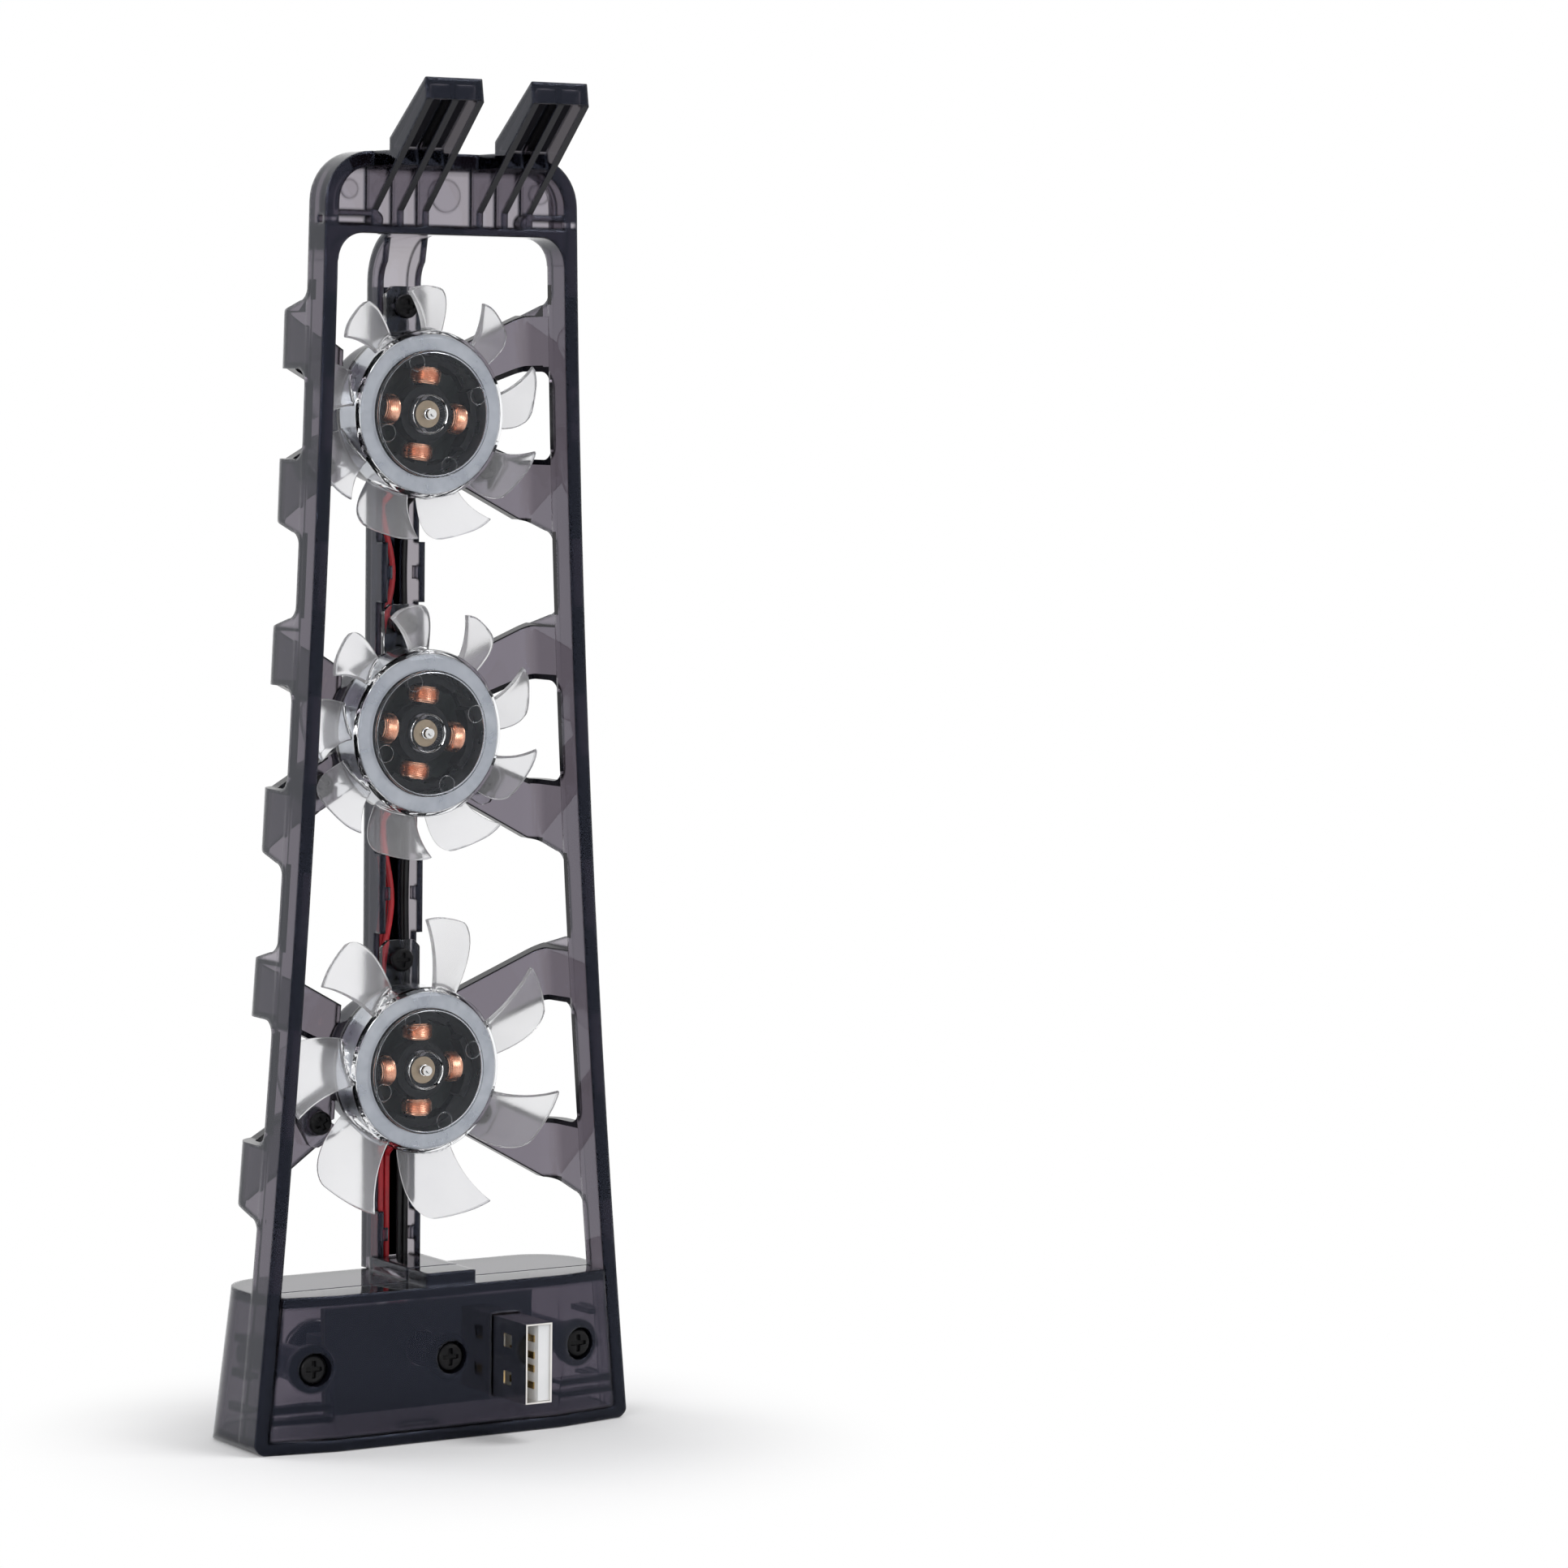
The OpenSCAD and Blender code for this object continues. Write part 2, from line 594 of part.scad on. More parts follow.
module spine() {
    color(smoke) difference() {
        union() {
            plate(-spine_w / 2, spine_w / 2) spine_back_side();
            for (s = [-1, 1]) {
                x0 = s > 0 ? spine_w / 2 - spine_wall : -spine_w / 2;
                plate(x0, x0 + spine_wall) spine_wall_side();
                // Raised wall between two fans, with a tab that keeps the wires in
                for (q = raises) {
                    z = q[0] + q[1] / 2;
                    y1 = spine_edge_y + spine_raise;
                    box([x0, spine_edge_y - eps, q[0]], [x0 + spine_wall, y1, q[0] + q[1]]);
                    box([min(x0, x0 - s * tab_l), y1 - spine_wall, z - 1],
                        [max(x0, x0 - s * tab_l) + spine_wall, y1, z + 1]);
                }
            }
            for (f = fans) translate([0, 0, f[0] + ear_r]) rod(post_r, spine_y + eps, holder_y);
        }
        for (f = fans) {
            translate([0, 0, f[0]]) rod(hub_r, hub_y, 0);
            translate([0, 0, f[0] + ear_r]) rod(screw_r + screw_fit, holder_y - pilot_l + 0.6, holder_y + 1);
        }
    }
}

module spine_strip() {
    color(black)
        box([-strip_w / 2, spine_y - strip_t, base_h + strip_foot_gap], [strip_w / 2, spine_y, strip_top]);
}

module hook_pads() {
    slope = atan2(hook_rise - hook_step, hook_reach - hook_foot);
    length = norm(hook_face()[1] - hook_face()[0]);
    pad_w = hook_w - 2 * pad_margin;
    color(black) for (s = [-1, 1]) translate([s * hook_x - pad_w / 2, hook_foot, frame_h + hook_step])
        rotate([slope, 0, 0]) cube_rounded([pad_w, length - pad_margin, pad_t]);
}

// Flat pad with rounded corners, lower end at Y = 0
module cube_rounded(size) {
    r = 0.6;
    linear_extrude(size[2]) union() {
        translate([r, 0]) square([size[0] - 2 * r, size[1]]);
        translate([0, r]) square([size[0], size[1] - 2 * r]);
        for (x = [r, size[0] - r], y = [r, size[1] - r]) translate([x, y]) circle(r);
    }
}

// Solid block of the base, drawn in by a wall, with tapered sides and a leaning outer face
module base_block(inset, z0, z1, front) {
    r = base_corner_r - inset;
    lean = taper(base_h / 2);
    wide = half_w(base_h / 2) + base_h / 2 * tan(lean) - inset / cos(lean);
    deep = base_out - inset;
    for (s = [0, 1]) mirror([s, 0, 0]) intersection() {
        translate([wide, -deep, 0]) rotate([-base_draft, 0, 0]) rotate([0, -lean, 0]) translate([0, 0, -5])
            linear_extrude(base_h + 15) union() {
                translate([-wide - 8, r]) square([wide + 8, deep + 10]);
                translate([-wide - 8, 0]) square([wide + 8 - r, r + eps]);
                translate([-r, r]) circle(r);
            }
        box([-eps, -base_out - 2, z0], [foot_w / 2 + 2, front, z1]);
    }
}

screw_posts = [-cover_screw_x, 0, cover_screw_x];
well_depth = 1.6;
cover_half = half_w(cover_screw_z) - rim_wall;
function cover_face(x) = abs(x) < cover_flat ? cover_proud
    : cover_proud * (cover_half - abs(x)) / (cover_half - cover_flat);
function well_y(x) = cover_face(x) - well_depth - cover_t;
post_out_r = well_r + 0.2;
cover_screw_r = 1.1;
cover_screw_l = 6;

module base_shell() {
    rib_h = 0.8;
    top_half = half_w(base_h) - rim_wall - 0.1;
    mouth = [socket_h / 2 + sheet_t + cover_gap, socket_w / 2 + sheet_t + cover_gap];
    color(smoke) difference() {
        union() {
            difference() {
                base_block(0, 0, base_h, -rim_depth);
                base_block(base_wall, floor_z, base_h - base_wall, 0);
            }
            // Top wall between the rails, up to the cover's flange
            box([-top_half, -rim_depth - eps, base_h - base_wall],
                [top_half, -cover_flange - cover_gap, base_h]);
            // Tunnel from the spine to the cover
            box([-tunnel_w / 2, spine_edge_y, base_h - eps],
                [tunnel_w / 2, -cover_flange - cover_gap, base_h + tunnel_h]);
            // Posts for the cover's screws
            intersection() {
                for (x = screw_posts) translate([x, 0, cover_screw_z]) rod(post_out_r, -base_out, well_y(x));
                base_block(base_wall / 2, 0, base_h, 3);
            }
            // Stiffening ribs on the side walls
            intersection() {
                for (s = [-1, 1], z = [5.5, 10.5, 15.5]) translate([s * foot_w / 2, 0, z])
                    box([-7, -base_out + base_corner_r + 1, 0], [7, -rim_depth, rib_h]);
                difference() {
                    base_block(base_wall / 2, 0, base_h, -rim_depth);
                    base_block(base_wall + 1.6, -1, base_h + 1, 1);
                }
            }
        }
        for (x = screw_posts) translate([x, 0, cover_screw_z])
            rod(cover_screw_r + screw_fit, well_y(x) - cover_screw_l - 0.5, well_y(x) + 1);
        // Mouth of the socket
        box([-socket_x - mouth[0], -base_out - 1, socket_z - mouth[1]],
            [-socket_x + mouth[0], -board_back, socket_z + mouth[1]]);
        // Hole for the button
        translate([button_x, 0, button_z]) rod(button_r + button_fit, -base_out - 1, -base_out + 5);
        // Way for the wires into the base and along the tunnel
        box([-wire_x - wire_d, spine_y + spine_wall, base_h - base_wall - 1],
            [wire_x + wire_d, -cover_flange - cover_gap - 1.2, base_h + tunnel_h - 1]);
        box([-wire_x - wire_d, spine_y + spine_wall, base_h - base_wall - 1],
            [wire_x + wire_d, wire_y[2] + wire_d, base_h + tunnel_h + 1]);
    }
}

// Plan of the cover: a convex plate with a flat middle
module cover_plan(half, back) {
    polygon([[-half, back], [-half, 0], [-cover_flat, cover_proud],
        [cover_flat, cover_proud], [half, 0], [half, back]]);
}

module base_cover() {
    side = rim_wall + cover_gap;
    half = half_w(floor_z) - rim_wall;
    plug_hole = [plug_h / 2 + cover_gap, plug_w / 2 + cover_gap];
    color(smoke) difference() {
        union() {
            intersection() {
                union() {
                    translate([0, 0, floor_z + cover_gap]) linear_extrude(cover_top - floor_z - cover_gap)
                        difference() {
                            cover_plan(half, -cover_t);
                            translate([0, -cover_t]) cover_plan(half + 5, -9);
                        }
                    // Top flange
                    translate([0, 0, cover_top - base_wall]) linear_extrude(base_wall)
                        cover_plan(half, -cover_flange);
                }
                slab(-rim_depth, cover_proud + 1) polygon([
                    [-half_w(0) + side, 0], [half_w(0) - side, 0],
                    [half_w(base_h) - side, base_h], [-half_w(base_h) + side, base_h]]);
            }
            // End of the tunnel
            box([-tunnel_w / 2, -cover_flange, cover_top - eps],
                [tunnel_w / 2, cover_proud - 0.4, cover_top + tunnel_h]);
            // Wells for the screws
            for (x = screw_posts) translate([x, 0, cover_screw_z])
                rod(well_r + 1, well_y(x), cover_face(x) - 0.6);
        }
        for (x = screw_posts) translate([x, 0, cover_screw_z]) {
            rod(well_r, well_y(x) + cover_t, cover_proud + 2);
            rod(cover_screw_r + screw_fit, well_y(x) - 1, cover_proud);
        }
        box([-plug_x - plug_hole[0], -rim_depth, plug_z - plug_hole[1]],
            [-plug_x + plug_hole[0], 5, plug_z + plug_hole[1]]);
    }
}

// Pan-head screw along Y: head from the seat outwards, cross recess, shank inwards
module screw(head_r, head_h, r, l) {
    slot = head_r * 0.3;
    edge_h = head_h * 0.55;
    difference() {
        turned() polygon(concat([[0, -l], [r * 0.6, -l], [r, -l + r], [r, 0], [head_r, 0], [head_r, edge_h]],
            arc([head_r - head_h + edge_h, edge_h], head_h - edge_h, 0, 90, 4), [[0, head_h]]));
        for (a = [0, 90]) rotate([0, a, 0])
            box([-head_r * 0.6, head_h - edge_h, -slot / 2], [head_r * 0.6, head_h + 1, slot / 2]);
    }
}

module cover_screws() {
    color(black) for (x = screw_posts) translate([x, well_y(x) + cover_t, cover_screw_z])
        screw(well_r - 0.25, 1.2, cover_screw_r, cover_screw_l);
}

module fan_screws() {
    color(black) for (f = fans, a = ear_angles)
        translate([0, fan_board_y, f[0]]) rotate([0, -a, 0]) translate([ear_r, 0, 0])
            screw(screw_head_r, screw_head_h, screw_r, screw_l);
}

// Ear of the holder, drawn along X and grown by a gap
module ear_2d(gap) {
    cut = 1;
    w = ear_w / 2 + gap;
    l = ear_r + ear_end + gap;
    polygon([[0, -w], [l - cut, -w], [l, cut - w], [l, w - cut], [l - cut, w], [0, w]]);
}

// Clear plate with three ears and the bearing tube
module fan_holder(fz) {
    translate([0, 0, fz]) difference() {
        union() {
            slab(holder_y, fan_board_y) union() {
                circle(hub_r);
                for (a = ear_angles) rotate(a) ear_2d(0);
            }
            rod(tube_r, holder_y, tube_end_y);
        }
        rod(bearing_r, fan_board_y, tube_end_y + 1);
        for (a = ear_angles) rotate([0, -a, 0]) translate([ear_r, 0, 0])
            rod(screw_r + screw_fit, holder_y - 1, fan_board_y + 1);
    }
}

module fan_holder_top() { color(clear) fan_holder(fan_top_z); }
module fan_holder_middle() { color(clear) fan_holder(fan_middle_z); }
module fan_holder_bottom() { color(clear) fan_holder(fan_bottom_z); }

module fan_board(fz) {
    translate([0, 0, fz]) difference() {
        rod(board_r, fan_board_y, fan_board_y + board_t);
        rod(tube_r, fan_board_y - 1, fan_board_y + board_t + 1);
    }
}

module fan_board_top() { color("darkgreen") fan_board(fan_top_z); }
module fan_board_middle() { color("darkgreen") fan_board(fan_middle_z); }
module fan_board_bottom() { color("darkgreen") fan_board(fan_bottom_z); }

// Iron core with four poles
stator_ring = 1.3;
shoe_t = 1.2;
coil_gap = 0.1;
module stator(f) {
    translate([0, 0, f[0]]) slab(stator_y, stator_y + stator_h) rotate(-f[6]) difference() {
        union() {
            circle(tube_r + stator_ring);
            for (a = [0 : 90 : 270]) rotate(a) translate([0, -pole_w / 2])
                square([stator_r - shoe_t / 2, pole_w]);
            intersection() {
                difference() {
                    circle(stator_r);
                    circle(stator_r - shoe_t);
                }
                for (a = [0 : 90 : 270]) rotate(a)
                    polygon([[0, 0], [stator_r * 2, -stator_r * 1.3], [stator_r * 2, stator_r * 1.3]]);
            }
        }
        circle(tube_r);
    }
}

module stator_top() { color("dimgray") stator(fans[0]); }
module stator_middle() { color("dimgray") stator(fans[1]); }
module stator_bottom() { color("dimgray") stator(fans[2]); }

// Four copper coils, one round each pole
module coils(f) {
    root = sqrt(pow(stator_r - shoe_t - coil_gap, 2) - coil_r * coil_r) - coil_l;
    mid = stator_y + stator_h / 2;
    for (a = [0 : 90 : 270]) translate([0, mid, f[0]]) rotate([0, a + f[6], 0]) difference() {
        translate([root, 0, 0]) rotate([0, 90, 0]) cylinder(r = coil_r, h = coil_l);
        box([root - 1, -stator_h / 2, -pole_w / 2], [root + coil_l + 1, stator_h / 2, pole_w / 2]);
    }
}

module coils_top() { color("chocolate") coils(fans[0]); }
module coils_middle() { color("chocolate") coils(fans[1]); }
module coils_bottom() { color("chocolate") coils(fans[2]); }

module bearing(fz) {
    translate([0, 0, fz]) difference() {
        rod(bearing_r, fan_board_y, tube_end_y);
        rod(shaft_r + shaft_fit, fan_board_y - 1, tube_end_y + 1);
    }
}

module bearing_top() { color("goldenrod") bearing(fan_top_z); }
module bearing_middle() { color("goldenrod") bearing(fan_middle_z); }
module bearing_bottom() { color("goldenrod") bearing(fan_bottom_z); }

module shaft(fz) {
    translate([0, 0, fz]) rod(shaft_r, fan_board_y + shaft_fit, rotor_front_y - shaft_cap);
}

module shaft_top() { color("silver") shaft(fan_top_z); }
module shaft_middle() { color("silver") shaft(fan_middle_z); }
module shaft_bottom() { color("silver") shaft(fan_bottom_z); }

module magnet(fz) {
    translate([0, 0, fz]) difference() {
        rod(cup_r - cup_wall, rotor_back_y + 0.3, cup_floor_y);
        rod(magnet_in_r, rotor_back_y, cup_floor_y + 1);
    }
}

module magnet_top() { color("gray") magnet(fan_top_z); }
module magnet_middle() { color("gray") magnet(fan_middle_z); }
module magnet_bottom() { color("gray") magnet(fan_bottom_z); }

// Point at a radius and an angle, which grows clockwise as seen from the console
function polar(p) = p[0] * [-sin(p[1]), cos(p[1])];
// Curve from a to c that bends towards b
function bend(a, b, c, n) = [for (i = [0 : n]) let (t = i / n)
    (1 - t) * (1 - t) * a + 2 * t * (1 - t) * b + t * t * c];

// Outline of one blade: leading edge, outer edge with a rounded trailing corner, and root
function blade_outline(root, tip, span, tip_span) =
    let (corner = [tip - tip_drop, 0],
         lead = [for (t = [0 : 0.2 : 0.8]) [root + (corner[0] - root) * t, blade_sweep * (1 - pow(t, 1.6))]],
         outer = bend(corner, [tip, 5], [tip, 10], 4),
         turn = [tip, tip_span - blade_round / tip * 180 / PI],
         fall = [tip, tip_span] + blade_round / (tip - root) * [root - tip, span - tip_span],
         base = [for (t = [0 : 0.25 : 1]) [root, span + (blade_sweep - span) * t]])
    [for (p = concat(lead, outer, bend(turn, [tip, tip_span], fall, 5), base)) polar(p)];

module rotor(f) {
    n = f[2];
    root = cup_r - cup_wall / 2;
    mid_y = (rotor_back_y + rotor_front_y) / 2;
    translate([0, 0, f[0]]) {
        turned() polygon([[0, rotor_front_y - shaft_cap], [shaft_r, rotor_front_y - shaft_cap],
            [shaft_r, boss_end_y], [boss_r, boss_end_y], [boss_r, cup_floor_y],
            [cup_r - cup_wall, cup_floor_y], [cup_r - cup_wall, rotor_back_y], [cup_r, rotor_back_y],
            [cup_r, rotor_front_y - cup_shoulder], [cup_front_r, rotor_front_y], [0, rotor_front_y]]);
        for (i = [0 : n - 1]) rotate([0, -f[5] - i * 360 / n, 0]) intersection() {
            rotate([0, -f[3] / 2, 0]) translate([0, mid_y, 0]) rotate([0, 0, blade_pitch])
                box([-15, -blade_t / 2, 0], [15, blade_t / 2, f[1] + 1]);
            slab(rotor_back_y, rotor_front_y + blade_t / 2) polygon(blade_outline(root, f[1], f[3], f[4]));
        }
    }
}

module rotor_top() { color(clear) rotor(fans[0]); }
module rotor_middle() { color(clear) rotor(fans[1]); }
module rotor_bottom() { color(clear) rotor(fans[2]); }

// Plug: a sheet-metal shell with windows, a tongue and four contacts
tongue_h = 1.9;
plug_in = [plug_h - 2 * sheet_t, plug_w - 2 * sheet_t];
contact_t = 0.2;
plug_window = [2.3, 2];
module plug_shell() {
    y1 = plug_face_y + plug_l;
    color("silver") translate([-plug_x, 0, plug_z]) difference() {
        box([-plug_h / 2, board_front_y, -plug_w / 2], [plug_h / 2, y1, plug_w / 2]);
        box([-plug_in[0] / 2, board_front_y + 1, -plug_in[1] / 2], [plug_in[0] / 2, y1 + 1, plug_in[1] / 2]);
        for (s = [-1, 1]) box([-plug_h, y1 - 6.6, s * 2.8 - plug_window[1] / 2],
            [plug_h, y1 - 6.6 + plug_window[0], s * 2.8 + plug_window[1] / 2]);
    }
}

module plug_tongue() {
    color("white") translate([-plug_x, 0, plug_z])
        box([-plug_in[0] / 2, board_front_y + 1, -plug_in[1] / 2],
            [-plug_in[0] / 2 + tongue_h, plug_face_y + plug_l - 0.4, plug_in[1] / 2]);
}

contact_z = [-3.5, -1, 1, 3.5];
module plug_contacts() {
    x0 = -plug_in[0] / 2 + tongue_h;
    color("gold") translate([-plug_x, 0, plug_z]) for (z = contact_z)
        box([x0, plug_face_y + plug_l - 8.4, z - 0.5], [x0 + contact_t, plug_face_y + plug_l - 1.4, z + 0.5]);
}

// Socket: a sheet-metal shell that faces outwards, a tongue and four contacts
socket_face_y = base_face(socket_z) - 0.1;
socket_tongue_t = 1.84;
socket_tongue_w = 10.8;
module socket_shell() {
    color("silver") translate([-socket_x, 0, socket_z]) difference() {
        box([-socket_h / 2 - sheet_t, socket_face_y, -socket_w / 2 - sheet_t],
            [socket_h / 2 + sheet_t, -board_back, socket_w / 2 + sheet_t]);
        box([-socket_h / 2, socket_face_y - 1, -socket_w / 2],
            [socket_h / 2, -board_back - 0.8, socket_w / 2]);
    }
}

module socket_tongue() {
    x1 = socket_h / 2 - 0.7;
    color("white") translate([-socket_x, 0, socket_z])
        box([x1 - socket_tongue_t, socket_face_y + 0.6, -socket_tongue_w / 2],
            [x1, -board_back - 0.8, socket_tongue_w / 2]);
}

module socket_contacts() {
    x0 = socket_h / 2 - 0.7 - socket_tongue_t;
    color("gold") translate([-socket_x, 0, socket_z]) for (z = contact_z)
        box([x0 - contact_t, socket_face_y + 1.6, z - 0.5], [x0, -board_back - 1.4, z + 0.5]);
}

// Control board across the base, with a hole for the middle screw's post
module control_board() {
    color("darkgreen") difference() {
        box([-main_board_left, -board_back, main_board_low],
            [main_board_right, board_front_y, main_board_top]);
        translate([0, 0, cover_screw_z]) rod(post_out_r + cover_gap, -board_back - 1, 0);
    }
}

switch_face_y = -board_back - switch_t;
stem_end_y = switch_face_y - 0.9;
module push_switch() {
    color("dimgray") translate([button_x, 0, button_z])
        box([-switch_w / 2, switch_face_y, -switch_w / 2], [switch_w / 2, -board_back, switch_w / 2]);
}

// Domed cap on the switch's stem
module push_button() {
    rim_y = base_face(button_z) - button_proud + 0.8;
    flange_y = base_face(button_z + button_r) + base_wall + 0.6;
    dome_r = (button_r * button_r + 0.64) / 1.6;
    back_y = switch_face_y - button_travel - 0.15;
    color(black) translate([button_x, 0, button_z]) turned() polygon(concat(
        [[0, back_y], [stem_r, back_y], [stem_r, flange_y], [button_r, flange_y], [button_r, rim_y]],
        [for (i = [1 : 8]) let (x = button_r * (1 - i / 8))
            [x, rim_y + dome_r - 0.8 - sqrt(dome_r * dome_r - x * x)]]));
}

// Unit vector
function unit(v) = v / norm(v);
// Route with its corners eased
function eased(p, d) = concat([p[0]],
    [for (i = [1 : len(p) - 2], t = [0 : 0.25 : 1])
        let (a = p[i] + d * unit(p[i - 1] - p[i]), b = p[i] + d * unit(p[i + 1] - p[i]))
        (1 - t) * (1 - t) * a + 2 * t * (1 - t) * p[i] + t * t * b],
    [p[len(p) - 1]]);

// Round wire along a route in Y and Z, at one X
module wire(x, route) {
    sides = 8;
    r = wire_d / 2;
    p = eased(route, 0.6);
    n = len(p);
    dirs = [for (i = [0 : n - 1]) unit(p[min(i + 1, n - 1)] - p[max(i - 1, 0)])];
    points = [for (i = [0 : n - 1], k = [0 : sides - 1])
        let (a = 360 * (k + 0.5) / sides)
        [x + r * cos(a), p[i][0] - r * sin(a) * dirs[i][1], p[i][1] + r * sin(a) * dirs[i][0]]];
    skin = [for (i = [0 : n - 2], k = [0 : sides - 1], half = [0, 1])
        let (k1 = (k + 1) % sides, a = i * sides, b = a + sides)
        half == 0 ? [a + k, a + k1, b + k1] : [a + k, b + k1, b + k]];
    ends = [[for (k = [sides - 1 : -1 : 0]) k], [for (k = [0 : sides - 1]) (n - 1) * sides + k]];
    polyhedron(points, concat(skin, ends));
}

// Wires of the three fans: out under the holder, down the spine and on to the control board
wire_y = [for (layer = [0.5, 1.5, 1.5]) hub_floor_y + wire_d * layer + 0.16 * layer];
wire_gap = 0.15;
wire_end_gap = 0.2;
socket_top = socket_z + socket_w / 2 + sheet_t;
wire_end_z = [for (layer = [0, 1, 1]) socket_top + wire_d / 2 + wire_gap + layer * (wire_d + wire_gap)];
module fan_wires(s) {
    for (i = [0 : 2]) {
        z = fans[i][0];
        x = s * wire_x;
        step = i == 2 ? s * -wire_d - s * 0.1 : 0;
        wire(x + step, [[fan_board_y + wire_d / 2 + 0.1, z - board_r - wire_d],
              [fan_board_y + wire_d / 2 + 0.1, z - hub_r - wire_d / 2 - 0.2],
              [wire_y[i], z - hub_r - wire_d * 3],
              [wire_y[i], base_h + tunnel_h - 1.6],
              [-board_back - 1.4 - wire_d, wire_end_z[i] + 1],
              [-board_back - wire_end_gap, wire_end_z[i]]]);
    }
}

module wires_red() { color("firebrick") fan_wires(1); }
module wires_black() { color(black) fan_wires(-1); }

frame_rim();
arms_top();
arms_middle();
arms_bottom();
spine();
base_shell();
base_cover();
cover_screws();
spine_strip();
hook_pads();
fan_screws();
fan_holder_top();
fan_holder_middle();
fan_holder_bottom();
fan_board_top();
fan_board_middle();
fan_board_bottom();
stator_top();
stator_middle();
stator_bottom();
coils_top();
coils_middle();
coils_bottom();
bearing_top();
bearing_middle();
bearing_bottom();
rotor_top();
rotor_middle();
rotor_bottom();
magnet_top();
magnet_middle();
magnet_bottom();
shaft_top();
shaft_middle();
shaft_bottom();
plug_shell();
plug_tongue();
plug_contacts();
socket_shell();
socket_tongue();
socket_contacts();
control_board();
push_switch();
push_button();
wires_red();
wires_black();
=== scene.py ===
import math
import bpy
from mathutils import Matrix, Vector


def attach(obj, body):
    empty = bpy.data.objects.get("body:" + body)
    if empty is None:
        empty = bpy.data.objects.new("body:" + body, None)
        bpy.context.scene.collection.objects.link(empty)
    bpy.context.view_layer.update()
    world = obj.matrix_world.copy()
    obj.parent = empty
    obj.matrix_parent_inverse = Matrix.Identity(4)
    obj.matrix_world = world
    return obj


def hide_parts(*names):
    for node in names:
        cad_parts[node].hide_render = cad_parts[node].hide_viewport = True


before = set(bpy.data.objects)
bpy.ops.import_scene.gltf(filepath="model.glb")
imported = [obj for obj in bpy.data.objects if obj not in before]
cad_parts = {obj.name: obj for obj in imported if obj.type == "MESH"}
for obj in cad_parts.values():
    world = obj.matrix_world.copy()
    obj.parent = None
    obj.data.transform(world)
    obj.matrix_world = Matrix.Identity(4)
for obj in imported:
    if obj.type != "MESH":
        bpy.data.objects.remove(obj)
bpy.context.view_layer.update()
scene = bpy.context.scene
scene.view_settings.view_transform = "Standard"
mm = 0.001
fanHeights = {"top": 151.9, "middle": 104.6, "bottom": 54.2}  # mm, of the axes above the foot
print("frame loaded:", len(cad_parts), "nodes")

cameraView = {
    "azimuth": 150.57, "elevation": 4.1, "roll": 0.41,  # degrees round the object
    "distance": 797.7, "side": -1.11, "height": 100.04,  # mm, to the point in front of it
    "lens": 123.9, "sensor": 36, "clipStart": 0.01,
    "frameSize": 1932, "axisPixel": (545, 945),  # the object stands left of the middle
}


def makeCamera():
    a, e, r = (math.radians(cameraView[k]) for k in ("azimuth", "elevation", "roll"))
    back = Vector((math.sin(a) * math.cos(e), -math.cos(a) * math.cos(e), math.sin(e)))
    level = Vector((math.cos(a), math.sin(a), 0))
    upright = back.cross(level)
    right = level * math.cos(r) + upright * math.sin(r)
    up = upright * math.cos(r) - level * math.sin(r)
    spot = (level * cameraView["side"] + Vector((0, 0, cameraView["height"])) + back * cameraView["distance"]) * mm
    pixels = cameraView["lens"] / cameraView["sensor"] * cameraView["frameSize"]
    middle = cameraView["frameSize"] / 2
    across = (middle - cameraView["axisPixel"][0]) / pixels
    down = (middle - cameraView["axisPixel"][1]) / pixels
    away = -(right * across - up * down - back).normalized()
    right = (right - away * right.dot(away)).normalized()
    aimed = Matrix((right, away.cross(right), away)).transposed()
    bpy.ops.object.camera_add(location=spot, rotation=aimed.to_euler())
    camera = bpy.context.object
    camera.data.lens = cameraView["lens"]
    camera.data.sensor_width = cameraView["sensor"]
    camera.data.clip_start = cameraView["clipStart"]
    scene.camera = camera


makeCamera()
print("camera set")

studio = {
    "fill": 0.55, "background": 1.0,  # world strength for soft light, and as seen
    "floorColour": (0.97, 0.97, 0.98, 1), "floorSize": 6.0, "floorDrop": 0.00005,
    "fadeStart": 0.025, "fadeEnd": 0.07,  # m from the object, where the floor turns white
    "aim": (0, 0, 0.1),
    "lamps": (  # place, width, watts
        ((-0.5, 0.5, 1.1), 0.5, 4.8),
        ((0.75, 0.55, 0.35), 0.4, 1.8),
        ((0.7, -0.6, 0.6), 0.6, 3.2),
    ),
}


def addNode(tree, kind, values=None, **settings):
    node = tree.nodes.new(kind)
    for key, value in settings.items():
        setattr(node, key, value)
    for key, value in (values or {}).items():
        node.inputs[key].default_value = value
    return node


def seenDirectly(tree):
    # 1 for what the camera, a mirror or clear plastic shows, 0 for soft light
    path = addNode(tree, "ShaderNodeLightPath")
    first = addNode(tree, "ShaderNodeMath", operation="MAXIMUM")
    both = addNode(tree, "ShaderNodeMath", operation="MAXIMUM")
    tree.links.new(path.outputs["Is Camera Ray"], first.inputs[0])
    tree.links.new(path.outputs["Is Glossy Ray"], first.inputs[1])
    tree.links.new(path.outputs["Is Transmission Ray"], both.inputs[0])
    tree.links.new(first.outputs[0], both.inputs[1])
    return both.outputs[0]


